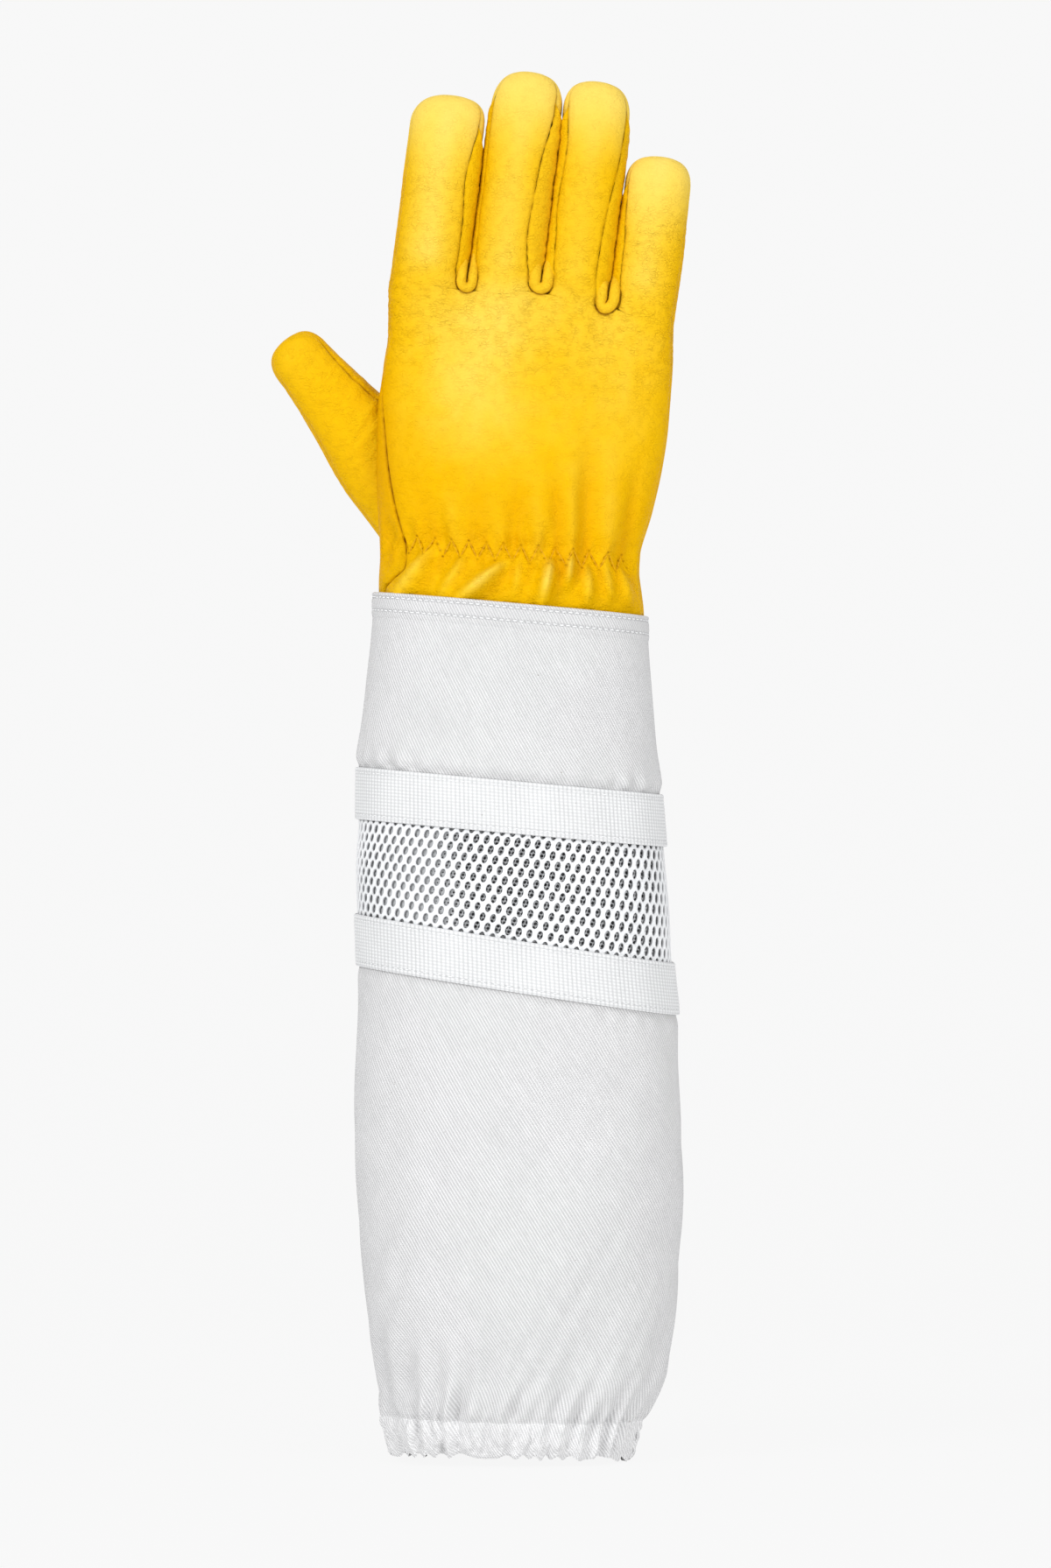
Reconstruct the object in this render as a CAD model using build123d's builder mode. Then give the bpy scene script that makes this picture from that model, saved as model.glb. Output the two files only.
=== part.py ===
"""A right-hand beekeeping glove: a leather hand on a long cotton gauntlet with a
ventilated mesh band, two webbing tapes and an elastic hem.

Frame, in millimetres: the origin is the centre of the arm opening, +Z runs up the
arm to the fingertips, the back of the hand faces -Y and the thumb points to -X.
"""

from build123d import *
from functools import lru_cache
from math import cos, radians, sin
import os
from typing import NamedTuple

# ---- materials ---------------------------------------------------------------
LEATHER = 1.0
CANVAS = 0.7
MESH_OUTER = 1.1
MESH_INNER = 0.5
WEBBING = 1.1
ELASTIC = 1.4
THREAD = 0.4

# ---- fits --------------------------------------------------------------------
HINGE_GAP = 0.2  # each side of a bending line
LAY_GAP = 0.1  # between two layers of one body

# ---- seams on a digit --------------------------------------------------------
SEAM = 4.0  # half the width of a side strip, across the depth
STRIP_END = 10.0  # how far below the fingertip the side strips stop
DOME_RISES = (0.35, 0.6, 0.8, 0.92, 0.985, 0.999)  # heights of a rounded tip's outlines
DOME_POWER = 2.6  # 2 is a round tip, more is a flatter one

# ---- bending lines -----------------------------------------------------------
WRIST_Z = 331.0
THUMB_LINE_X = -51.0  # the thumb leaves the hand through this upright plane
KNUCKLE_TILT = 7.0  # degrees, the fingers lean towards the little finger

# ---- heights of the gauntlet's bands, at x = 0, and how much each line falls --
CUFF_TOP = (310.8, -0.092)
CUFF_STITCH_1 = (309.2, -0.092)
CUFF_STITCH_2 = (305.0, -0.092)
CUFF_HEM_LOW = (302.5, -0.092)
LEATHER_TAIL = (303.0, -0.092)
UPPER_TAPE = ((228.8, -0.092), (247.9, -0.092))
LOWER_TAPE = ((171.6, -0.157), (190.5, -0.157))
HEM_TOP = (15.0, -0.03)
STITCH_INSET = 1.6
FAR = 160.0  # beyond the object on any side

INDEX, MIDDLE, RING, LITTLE = "index", "middle", "ring", "little"


class Station(NamedTuple):
    """One cross-section of a tube: height, centre in X, width in X and depth in Y."""

    z: float
    x: float
    width: float
    depth: float
    flat: float = 0.15  # share of the width that is straight, front and back


class Digit(NamedTuple):
    """A finger or thumb in its own frame, with its root at 0 and its tip at length."""

    name: str
    spans: tuple  # (height, width, depth), from the root up to where the tip rounds
    length: float
    bend: float  # height of the middle bending line
    strips: tuple  # sides that have a side strip: -1, 1


LEATHER_HAND = [
    Station(296.0, 0.4, 96.6, 53.0),
    Station(313.0, -0.4, 96.4, 50.0),
    Station(331.0, -0.7, 95.0, 46.0),
    Station(350.0, 1.2, 100.9, 42.0),
    Station(375.0, 3.2, 105.3, 38.0),
    Station(398.0, 5.8, 104.6, 33.0, 0.3),
]
KNUCKLES = Station(0.0, -1.5, 105.2, 25.0, 0.7)

CANVAS_SLEEVE = [
    Station(313.0, -0.8, 101.4, 55.0),
    Station(280.0, -1.0, 105.5, 61.0),
    Station(248.0, -1.2, 109.0, 66.0),
    Station(228.0, -0.5, 110.8, 69.0),
    Station(190.0, 0.8, 113.4, 73.0),
    Station(170.0, 1.6, 115.4, 74.5),
    Station(135.0, 1.6, 118.2, 76.0),
    Station(95.0, 3.0, 119.0, 76.0),
    Station(60.0, 3.1, 113.6, 72.0),
    Station(34.0, 2.4, 104.6, 66.0),
    Station(15.0, 0.0, 95.6, 60.0),
    Station(0.0, -0.3, 91.0, 57.0),
]

FINGER_PLACE = {INDEX: -40.3, MIDDLE: -12.3, RING: 13.85, LITTLE: 39.0}
CROTCHES = {
    "index_middle": -26.0,
    "middle_ring": 1.3,
    "ring_little": 26.5,
}
FINGERS = [
    Digit(INDEX, ((0.0, 27.8, 21.0), (58.5, 27.6, 19.0)), 71.5, 37.0, (1,)),
    Digit(MIDDLE, ((0.0, 26.6, 21.0), (67.5, 26.0, 19.0)), 83.5, 43.0, (-1, 1)),
    Digit(RING, ((0.0, 24.6, 21.0), (70.0, 24.6, 19.0)), 83.0, 43.0, (-1, 1)),
    Digit(LITTLE, ((0.0, 24.3, 20.0), (46.5, 24.2, 17.8)), 58.5, 30.0, (-1,)),
]
THUMB_SPANS = (
    (-26.0, 40.0, 28.0),
    (0.0, 36.6, 27.6),
    (20.0, 29.6, 25.0),
    (30.0, 26.2, 23.0),
    (47.0, 22.2, 20.2),
)
THUMB = Digit("thumb", THUMB_SPANS, 58.0, 32.0, ())

TILT = radians(KNUCKLE_TILT)
KNUCKLE_PLANE = Plane(
    origin=(8.7, 0, 423.5), x_dir=(cos(TILT), 0, -sin(TILT)), z_dir=(sin(TILT), 0, cos(TILT))
)
THUMB_LEAN = radians(39.5)
THUMB_DEPTH_Y = 10.0  # the thumb's axis stands this far to the palm side
THUMB_PLANE = Plane(
    origin=(-46.9, THUMB_DEPTH_Y, 365.4),
    x_dir=(cos(THUMB_LEAN), 0, sin(THUMB_LEAN)),
    z_dir=(-sin(THUMB_LEAN), 0, cos(THUMB_LEAN)),
)
BODY_PLANE = Plane.XY


def oval(plane, width, depth, flat):
    """A long round outline: two half ellipses joined by straight front and back."""
    half_flat = flat * width / 2
    end = width / 2 - half_flat
    with BuildSketch(plane) as outline:
        with BuildLine():
            right = EllipticalCenterArc(
                (half_flat, 0), end, depth / 2, start_angle=-90, arc_size=180
            )
            Line(right @ 1, (-half_flat, depth / 2))
            left = EllipticalCenterArc(
                (-half_flat, 0), end, depth / 2, start_angle=90, arc_size=180
            )
            Line(left @ 1, right @ 0)
        make_face()
    return outline.sketch


def at_station(station, grow, frame=BODY_PLANE):
    """The outline of a station, grown outwards by grow, in its place."""
    plane = Plane(
        origin=frame.from_local_coords((station.x, 0, station.z)),
        x_dir=frame.x_dir,
        z_dir=frame.z_dir,
    )
    return oval(plane, station.width + 2 * grow, station.depth + 2 * grow, station.flat)


@lru_cache
def sleeve_solid(grow):
    """The full volume inside the canvas sleeve's outer face, grown by grow."""
    with BuildPart() as solid:
        loft([at_station(station, grow) for station in CANVAS_SLEEVE])
    return solid.part


@lru_cache
def hand_solid(grow):
    """The full volume inside the leather hand, from the cuff to the knuckle line."""
    with BuildPart() as solid:
        sections = [at_station(station, grow) for station in LEATHER_HAND]
        loft(sections + [at_station(KNUCKLES, grow, KNUCKLE_PLANE)], ruled=True)
    return solid.part


def digit_solid(digit, frame, grow):
    """A digit as one volume with a rounded tip."""
    shoulder, tip_width, tip_depth = digit.spans[-1]
    dome = digit.length - shoulder + grow
    outlines = [(height, width / 2, depth / 2, 1.0) for height, width, depth in digit.spans]
    for rise in DOME_RISES:
        scale = (1 - rise**DOME_POWER) ** (1 / DOME_POWER)
        outlines.append((shoulder + rise * dome, tip_width / 2, tip_depth / 2, scale))
    sections = []
    for height, half_width, half_depth, scale in outlines:
        with BuildSketch(frame.offset(height)) as outline:
            Ellipse((half_width + grow) * scale, (half_depth + grow) * scale)
        sections.append(outline.sketch)
    with BuildPart() as solid:
        loft(sections, ruled=True)
    return solid.part


def block(frame, x, y, z):
    """A box in a frame, from its low and high limits along each axis."""
    with BuildPart() as box:
        with BuildSketch(frame.offset(z[0])):
            with Locations(((x[0] + x[1]) / 2, (y[0] + y[1]) / 2)):
                Rectangle(x[1] - x[0], y[1] - y[0])
        extrude(amount=z[1] - z[0])
    return box.part


def between(low, high):
    """Everything between two lines that lean across the width: (height at x 0, slope)."""
    with BuildPart() as band:
        with BuildSketch(Plane.XZ):
            with BuildLine():
                Polyline(
                    (-FAR, low[0] - low[1] * FAR),
                    (FAR, low[0] + low[1] * FAR),
                    (FAR, high[0] + high[1] * FAR),
                    (-FAR, high[0] - high[1] * FAR),
                    close=True,
                )
            make_face()
        extrude(amount=FAR, both=True)
    return band.part


def cut_from(solid, keep=(), remove=()):
    """A piece cut from a solid: what lies in every keep region and in no remove one."""
    with BuildPart() as piece:
        add(solid)
        for region in keep:
            add(region, mode=Mode.INTERSECT)
        for region in remove:
            add(region, mode=Mode.SUBTRACT)
    return piece.part


def sleeve_band(outer, inner, low, high, keep=(), remove=()):
    """A ring of the sleeve between two grown faces and two leaning lines."""
    band = between(low, high)
    return cut_from(sleeve_solid(outer), [band, *keep], [sleeve_solid(inner), *remove])


def hand_band(outer, inner, low, high, keep=(), remove=()):
    """A ring of the leather hand between two grown faces and two leaning lines."""
    band = between(low, high)
    return cut_from(hand_solid(outer), [band, *keep], [hand_solid(inner), *remove])


def shifted(line, amount):
    """A leaning line moved up by amount."""
    return (line[0] + amount, line[1])


def middle_of(tape):
    """The line halfway up a tape."""
    low, high = tape
    return ((low[0] + high[0]) / 2, low[1])


def stitch_rings(tape, outer):
    """The two rows of thread that hold a tape, as thin rings on its face."""
    low, high = tape
    with BuildPart() as rings:
        for line in (shifted(low, STITCH_INSET), shifted(high, -STITCH_INSET)):
            add(sleeve_band(outer + THREAD, outer, line, shifted(line, THREAD)))
    return rings.part


def write(name, part):
    """Labels a finished piece and writes it as one file."""
    part.label = name
    export_step(part, f"parts/{name}.step")


os.makedirs("parts", exist_ok=True)

back_side = block(BODY_PLANE, (-FAR, FAR), (-FAR, -SEAM), (0, 2 * FAR + WRIST_Z))
right_edge = block(BODY_PLANE, (0, FAR), (-SEAM, SEAM), (0, WRIST_Z))

# ---- gauntlet: hem, sleeve, tapes, mesh, upper cuff ----------------------------
HEM_WALL = 3.2
HEM_LOW = (0.0, 0.0)
CHANNEL_LOW = (2.0, 0.0)
channel_face = -CANVAS
channel_back = -CANVAS - ELASTIC - 2 * LAY_GAP
channel = sleeve_band(channel_face, channel_back, CHANNEL_LOW, shifted(HEM_TOP, 1.0))
write("hem_casing", sleeve_band(0.0, -HEM_WALL, HEM_LOW, HEM_TOP, remove=[channel]))
write(
    "hem_elastic",
    sleeve_band(
        channel_face - LAY_GAP,
        channel_back + LAY_GAP,
        shifted(CHANNEL_LOW, LAY_GAP),
        shifted(HEM_TOP, -STITCH_INSET),
    ),
)
hem_row = shifted(HEM_TOP, -STITCH_INSET)
write("hem_stitching", sleeve_band(THREAD, 0.0, hem_row, shifted(hem_row, THREAD)))

lower_join, upper_join = middle_of(LOWER_TAPE), middle_of(UPPER_TAPE)
write("sleeve_canvas", sleeve_band(0.0, -CANVAS, HEM_TOP, lower_join))
seam_face = -CANVAS - LAY_GAP
write(
    "sleeve_side_seam",
    sleeve_band(seam_face, seam_face - CANVAS, shifted(HEM_TOP, 4.0), lower_join, [right_edge]),
)
write("mesh_outer", sleeve_band(0.0, -MESH_OUTER, lower_join, upper_join))
mesh_face = -MESH_OUTER - LAY_GAP
write("mesh_inner", sleeve_band(mesh_face, mesh_face - MESH_INNER, lower_join, upper_join))
for side, tape in (("lower", LOWER_TAPE), ("upper", UPPER_TAPE)):
    write(f"{side}_webbing", sleeve_band(LAY_GAP + WEBBING, LAY_GAP, *tape))
    write(f"{side}_webbing_stitching", stitch_rings(tape, LAY_GAP + WEBBING))

HEM_RING = 2.2  # the folded top edge of the cuff, outside the leather
write("cuff_canvas", sleeve_band(0.0, -CANVAS, upper_join, CUFF_HEM_LOW))
write(
    "cuff_side_seam",
    sleeve_band(seam_face, seam_face - CANVAS, upper_join, CUFF_HEM_LOW, [right_edge]),
)
write("cuff_top_hem", hand_band(HEM_RING, LAY_GAP, CUFF_HEM_LOW, CUFF_TOP))
with BuildPart() as cuff_rows:
    for row in (CUFF_STITCH_1, CUFF_STITCH_2):
        add(hand_band(HEM_RING + THREAD, HEM_RING, row, shifted(row, THREAD)))
write("cuff_top_stitching", cuff_rows.part)

# ---- leather wrist, below the bending line -------------------------------------
wrist_low = (WRIST_Z - HINGE_GAP, 0.0)
wrist_high = (WRIST_Z + HINGE_GAP, 0.0)
hand_top = (WRIST_Z + FAR, 0.0)
write("wrist_back", hand_band(0.0, -LEATHER, LEATHER_TAIL, wrist_low, [back_side]))
write("wrist_palm", hand_band(0.0, -LEATHER, LEATHER_TAIL, wrist_low, remove=[back_side]))

# ---- hand ----------------------------------------------------------------------
below_knuckles = block(KNUCKLE_PLANE, (-FAR, FAR), (-FAR, FAR), (-FAR, -HINGE_GAP))
palm_solid = hand_solid(0.0)
thumb_solid = digit_solid(THUMB, THUMB_PLANE, 0.0)
thumb_bore = digit_solid(THUMB, THUMB_PLANE, -LEATHER)
write(
    "hand_back",
    hand_band(0.0, -LEATHER, wrist_high, hand_top, [back_side, below_knuckles], [thumb_bore]),
)
write(
    "hand_palm",
    hand_band(0.0, -LEATHER, wrist_high, hand_top, [below_knuckles], [back_side, thumb_bore]),
)
hand_side = block(BODY_PLANE, (THUMB_LINE_X + HINGE_GAP, FAR), (-FAR, FAR), (0, 3 * FAR))
write("thumb_keystone", cut_from(thumb_solid, [hand_side], [thumb_bore, palm_solid]))

CROTCH_RADIUS = 2.6
for name, place in CROTCHES.items():
    centre = KNUCKLE_PLANE.from_local_coords((place, 0, -HINGE_GAP))
    trough_plane = Plane(origin=centre, x_dir=KNUCKLE_PLANE.x_dir, z_dir=(0, -1, 0))
    with BuildPart() as gusset:
        with BuildSketch(trough_plane):
            Circle(CROTCH_RADIUS)
            Circle(CROTCH_RADIUS - LEATHER, mode=Mode.SUBTRACT)
            with Locations((0, CROTCH_RADIUS)):
                Rectangle(4 * CROTCH_RADIUS, 2 * CROTCH_RADIUS, mode=Mode.SUBTRACT)
        extrude(amount=KNUCKLES.depth / 2 - LEATHER - LAY_GAP, both=True)
    write(f"crotch_gusset_{name}", gusset.part)

ELASTIC_WIDTH = 8.0
elastic_low = shifted(wrist_high, STITCH_INSET)
elastic_face = -LEATHER - LAY_GAP
deep_back = block(BODY_PLANE, (-FAR, FAR), (-FAR, -3 * SEAM), (0, 2 * WRIST_Z))
write(
    "wrist_elastic",
    hand_band(
        elastic_face,
        elastic_face - ELASTIC,
        elastic_low,
        shifted(elastic_low, ELASTIC_WIDTH),
        [deep_back],
    ),
)
with BuildPart() as shirring:
    for rise in (STITCH_INSET, ELASTIC_WIDTH - STITCH_INSET):
        row = shifted(elastic_low, rise)
        add(hand_band(THREAD, 0.0, row, shifted(row, THREAD), [deep_back]))
write("wrist_elastic_stitching", shirring.part)


# ---- digits --------------------------------------------------------------------
def write_digit(digit, frame, base_region):
    """Cuts a digit at its bending line and splits each length along its seams."""
    skin = cut_from(digit_solid(digit, frame, 0.0), remove=[digit_solid(digit, frame, -LEATHER)])
    lengths = {
        "base": [base_region, block(frame, (-FAR, FAR), (-FAR, FAR), (-FAR, digit.bend - HINGE_GAP))],
        "tip": [block(frame, (-FAR, FAR), (-FAR, FAR), (digit.bend + HINGE_GAP, FAR))],
    }
    back = block(frame, (-FAR, FAR), (-FAR, -SEAM), (-FAR, FAR))
    strip_top = digit.length - STRIP_END
    strips = [
        block(frame, tuple(sorted((0, side * FAR))), (-SEAM, SEAM), (-FAR, strip_top))
        for side in digit.strips
    ]
    for length, regions in lengths.items():
        write(f"{digit.name}_{length}_back", cut_from(skin, [*regions, back]))
        write(f"{digit.name}_{length}_palm", cut_from(skin, regions, [back, *strips]))
        if strips:
            with BuildPart() as legs:
                for strip in strips:
                    add(cut_from(skin, [*regions, strip]))
            write(f"{digit.name}_{length}_side_strip", legs.part)


for finger in FINGERS:
    root = Plane(
        origin=KNUCKLE_PLANE.from_local_coords((FINGER_PLACE[finger.name], 0, 0)),
        x_dir=KNUCKLE_PLANE.x_dir,
        z_dir=KNUCKLE_PLANE.z_dir,
    )
    write_digit(finger, root, block(root, (-FAR, FAR), (-FAR, FAR), (HINGE_GAP, FAR)))

thumb_side = block(BODY_PLANE, (-FAR, THUMB_LINE_X - HINGE_GAP), (-FAR, FAR), (0, 3 * FAR))
write_digit(THUMB, THUMB_PLANE, thumb_side)
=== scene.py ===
"""A right-hand beekeeping glove: the looks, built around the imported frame.

Lengths are in millimetres in this file and become metres when a mesh is made.
+Z runs up the arm to the fingertips, the back of the hand faces -Y, the thumb
points to -X, and phi runs round a section from +X over the back to -X.
"""

from typing import Callable, NamedTuple

import bmesh
import bpy
import numpy as np
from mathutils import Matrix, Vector


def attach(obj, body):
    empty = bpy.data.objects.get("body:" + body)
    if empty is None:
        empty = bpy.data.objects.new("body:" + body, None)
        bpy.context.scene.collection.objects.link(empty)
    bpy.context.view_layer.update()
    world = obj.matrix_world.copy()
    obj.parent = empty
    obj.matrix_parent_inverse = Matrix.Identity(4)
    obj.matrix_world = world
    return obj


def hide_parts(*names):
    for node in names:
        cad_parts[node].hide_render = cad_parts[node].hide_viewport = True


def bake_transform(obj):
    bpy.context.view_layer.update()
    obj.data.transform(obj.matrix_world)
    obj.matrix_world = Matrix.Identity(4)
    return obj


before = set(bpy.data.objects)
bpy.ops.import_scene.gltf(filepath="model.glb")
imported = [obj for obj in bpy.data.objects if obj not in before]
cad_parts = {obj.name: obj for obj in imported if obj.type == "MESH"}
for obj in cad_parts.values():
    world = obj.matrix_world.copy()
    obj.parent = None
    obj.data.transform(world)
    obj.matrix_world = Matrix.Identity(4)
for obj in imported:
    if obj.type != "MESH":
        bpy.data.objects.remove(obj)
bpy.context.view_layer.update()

MM = 0.001
LEATHER = 0.9  # thickness of the hand's pieces
CANVAS = 0.7
CROWDING = 0.6  # how much closer a panel's columns lie at its seams
PANEL_COLUMNS, DIGIT_COLUMNS, STRIP_COLUMNS = 420, 150, 46

# the plane of the knuckles: its middle, along it towards the little finger, and up the fingers
TILT = np.radians(7.0)
KNUCKLE = np.array((8.7, 0.0, 423.5))
KNUCKLE_U = np.array((np.cos(TILT), 0.0, -np.sin(TILT)))
KNUCKLE_W = np.array((np.sin(TILT), 0.0, np.cos(TILT)))

# the thumb's root, across the thumb and up it
LEAN = np.radians(39.5)
THUMB = np.array((-46.9, 0.0, 365.4))
THUMB_U = np.array((np.cos(LEAN), 0.0, np.sin(LEAN)))
THUMB_W = np.array((-np.sin(LEAN), 0.0, np.cos(LEAN)))


# ---- curves, noise and meshes ----------
def smooth(low, high, x):
    """0 below low, 1 above high, and a smooth step between."""
    t = np.clip((x - low) / (high - low), 0, 1)
    return t * t * (3 - 2 * t)


def bell(x, width):
    """1 at 0, falling away smoothly on both sides."""
    return np.exp(-((x / width) ** 2))


def curve(*rows):
    """A monotone curve through rows of (place, value)."""
    table = np.array(rows, float)
    x, y = table[:, 0], table[:, 1]
    step = np.diff(x)
    slope = np.diff(y) / step
    tangent = np.concatenate((slope[:1], np.zeros(len(x) - 2), slope[-1:]))
    product = slope[:-1] * slope[1:]
    total = np.where(slope[:-1] + slope[1:] == 0, 1, slope[:-1] + slope[1:])
    tangent[1:-1] = np.where(product > 0, 2 * product / total, 0)

    def at(place):
        place = np.clip(place, x[0], x[-1])
        i = np.clip(np.searchsorted(x, place) - 1, 0, len(x) - 2)
        t = (place - x[i]) / step[i]
        return (
            (2 * t**3 - 3 * t**2 + 1) * y[i]
            + (t**3 - 2 * t**2 + t) * step[i] * tangent[i]
            + (3 * t**2 - 2 * t**3) * y[i + 1]
            + (t**3 - t**2) * step[i] * tangent[i + 1]
        )

    return at


def noise(x, y, z, seed):
    """Smooth random values from -1 to 1, one cell wide per unit of x, y and z."""
    table = np.random.default_rng(seed).uniform(-1, 1, (32, 32, 32))
    place = np.stack(np.broadcast_arrays(x, y, z), -1)
    cell = np.floor(place).astype(int)
    f = place - cell
    f = f * f * (3 - 2 * f)
    total = 0
    for corner in np.ndindex(2, 2, 2):
        weight = 1
        for k in range(3):
            weight = weight * (f[..., k] if corner[k] else 1 - f[..., k])
        at = (cell + corner) % 32
        total = total + weight * table[at[..., 0], at[..., 1], at[..., 2]]
    return total


def signed_power(x, power):
    return np.sign(x) * np.abs(x) ** power


def rounded_edge(away, radius):
    """How far a rounded edge falls back, from 1 at the edge to 0 a radius away."""
    return 1 - np.sqrt(np.clip(1 - (1 - np.clip(away / radius, 0, 1)) ** 2, 0, 1))


def unit(v):
    return v / np.maximum(np.linalg.norm(v, axis=-1, keepdims=True), 1e-9)


def normals_of(grid, wrap):
    """Outward normals of a (rows, columns, 3) grid whose columns follow phi."""
    if wrap:
        across = np.roll(grid, -1, 1) - np.roll(grid, 1, 1)
    else:
        across = np.gradient(grid, axis=1)
    return unit(np.cross(np.gradient(grid, axis=0), across))


def facing_at(surface, x, y, point, step_x, step_y):
    """Outward normals of a surface at points on it, from a small step each way."""
    across = surface(x + step_x, y) - point
    along = surface(x, y + step_y) - point
    return unit(np.cross(along, across))


def quads_of(index):
    """Four corners for every cell of a grid of vertex numbers."""
    return index[:-1, :-1], index[1:, :-1], index[1:, 1:], index[:-1, 1:]


def as_rows(*corners):
    return np.stack([k.ravel() for k in corners], 1)


def add_mesh(name, verts, faces, material, normals=None, **attributes):
    """A mesh object from points in millimetres and rows of four corners."""
    mesh = bpy.data.meshes.new(name)
    mesh.vertices.add(len(verts))
    mesh.vertices.foreach_set("co", (np.asarray(verts, np.float32) * MM).ravel())
    faces = np.asarray(faces, np.int32)
    mesh.loops.add(faces.size)
    mesh.loops.foreach_set("vertex_index", faces.ravel())
    mesh.polygons.add(len(faces))
    starts = np.arange(len(faces), dtype=np.int32) * faces.shape[1]
    mesh.polygons.foreach_set("loop_start", starts)
    mesh.update(calc_edges=True)
    mesh.polygons.foreach_set("use_smooth", np.ones(len(faces), bool))
    for key, values in attributes.items():
        layer = mesh.attributes.new(key, "FLOAT", "POINT")
        layer.data.foreach_set("value", np.asarray(values, np.float32).ravel())
    if normals is not None:
        mesh.normals_split_custom_set_from_vertices(normals.astype(np.float32))
    mesh.materials.append(material)
    obj = bpy.data.objects.new(name, mesh)
    bpy.context.scene.collection.objects.link(obj)
    return obj


def shell(name, outer, thickness, material, wrap=False, trim=(0, 0), lap=0.0, **attributes):
    """A closed sheet whose outer face is a grid. trim drops rows used only for normals.

    lap sinks the first row, which lies under the piece before it.
    """
    facing = normals_of(outer, wrap)
    full = outer.shape[:2]
    rows = slice(trim[0], len(outer) - trim[1])
    outer, facing = outer[rows].copy(), facing[rows]
    outer[0] -= facing[0] * lap
    inner = outer - facing * thickness
    count = outer.shape[0] * outer.shape[1]
    index = np.arange(count).reshape(outer.shape[:2])
    if wrap:
        index = np.concatenate((index, index[:, :1]), axis=1)
    a, b, c, d = quads_of(index)
    quads = [(a, b, c, d), tuple(k + count for k in (a, d, c, b))]
    low, high = index[0], index[-1]
    quads.append((low[:-1], low[1:], low[1:] + count, low[:-1] + count))
    quads.append((high[1:], high[:-1], high[:-1] + count, high[1:] + count))
    if not wrap:
        left, right = index[:, 0], index[:, -1]
        quads.append((left[1:], left[:-1], left[:-1] + count, left[1:] + count))
        quads.append((right[:-1], right[1:], right[1:] + count, right[:-1] + count))
    faces = np.concatenate([as_rows(*quad) for quad in quads])
    verts = np.concatenate((outer.reshape(-1, 3), inner.reshape(-1, 3)))
    facing = facing.reshape(-1, 3)
    both = {
        key: np.tile(np.broadcast_to(value, full)[rows].ravel(), 2)
        for key, value in attributes.items()
    }
    return add_mesh(name, verts, faces, material, np.concatenate((facing, -facing)), **both)


def edge_distance(grid):
    """How far each point of a grid is, along its row, from the row's two ends."""
    steps = np.linalg.norm(np.diff(grid, axis=1), axis=2)
    from_left = np.concatenate((np.zeros((len(grid), 1)), np.cumsum(steps, 1)), axis=1)
    return from_left, from_left[:, -1:] - from_left


def crowded(count):
    """Shares from 0 to 1 that lie closer together at both ends."""
    t = np.linspace(0, 1, count)
    return t - CROWDING * np.sin(2 * np.pi * t) / (2 * np.pi)


# ---- materials ----------
TWILL_SLANT = 0.62  # how far the cloth's ribs run sideways as they rise


def srgb(r, g, b):
    value = np.array((r, g, b)) / 255
    return tuple(np.where(value < 0.04045, value / 12.92, ((value + 0.055) / 1.055) ** 2.4)) + (1,)


class Nodes:
    """A short way to write a material's nodes."""

    def __init__(self, name, color, roughness):
        self.material = bpy.data.materials.new(name)
        self.material.use_nodes = True
        self.tree = self.material.node_tree
        self.shader = self.tree.nodes["Principled BSDF"]
        self.shader.inputs["Base Color"].default_value = color
        self.shader.inputs["Roughness"].default_value = roughness
        self.material.diffuse_color = color

    def add(self, kind, inputs=(), **settings):
        """A node, its settings, and its inputs, each of them a value or a link."""
        node = self.tree.nodes.new(kind)
        for key, value in settings.items():
            setattr(node, key, value)
        for key, value in dict(inputs).items():
            self.feed(value, node.inputs[key])
        return node

    def feed(self, source, target):
        if isinstance(source, (int, float, tuple)):
            target.default_value = source
        else:
            self.tree.links.new(source, target)

    def attribute(self, name):
        return self.add("ShaderNodeAttribute", attribute_name=name).outputs["Fac"]

    def math(self, operation, *values):
        inputs = enumerate(values)
        return self.add("ShaderNodeMath", inputs, operation=operation).outputs[0]

    def plus(self, a, b):
        return self.math("ADD", a, b)

    def minus(self, a, b):
        return self.math("SUBTRACT", a, b)

    def times(self, a, b):
        return self.math("MULTIPLY", a, b)

    def mix(self, factor, a, b):
        inputs = {0: factor, 6: a, 7: b}
        return self.add("ShaderNodeMix", inputs, data_type="RGBA").outputs[2]

    def place(self, stretch=None):
        """The object's own coordinates in metres, stretched or not."""
        place = self.add("ShaderNodeTexCoord").outputs["Object"]
        if stretch:
            inputs = {"Scale": stretch, "Vector": place}
            place = self.add("ShaderNodeMapping", inputs).outputs[0]
        return place

    def noise(self, scale, detail, stretch=None):
        inputs = {"Scale": scale, "Detail": detail, "Vector": self.place(stretch)}
        return self.add("ShaderNodeTexNoise", inputs).outputs["Fac"]

    def ramp(self, value, low, high):
        inputs = {"Value": value, "From Min": low, "From Max": high}
        return self.add("ShaderNodeMapRange", inputs).outputs["Result"]

    def bump(self, height, distance, strength, below=None):
        inputs = {"Strength": strength, "Distance": distance, "Height": height}
        if below is not None:
            inputs["Normal"] = below
        return self.add("ShaderNodeBump", inputs).outputs["Normal"]

    def finish(self, **sockets):
        for name, value in sockets.items():
            self.feed(value, self.shader.inputs[name.replace("_", " ").title()])
        return self.material


def darker(color, share):
    return tuple(share * c for c in color[:3]) + (1,)


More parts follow.
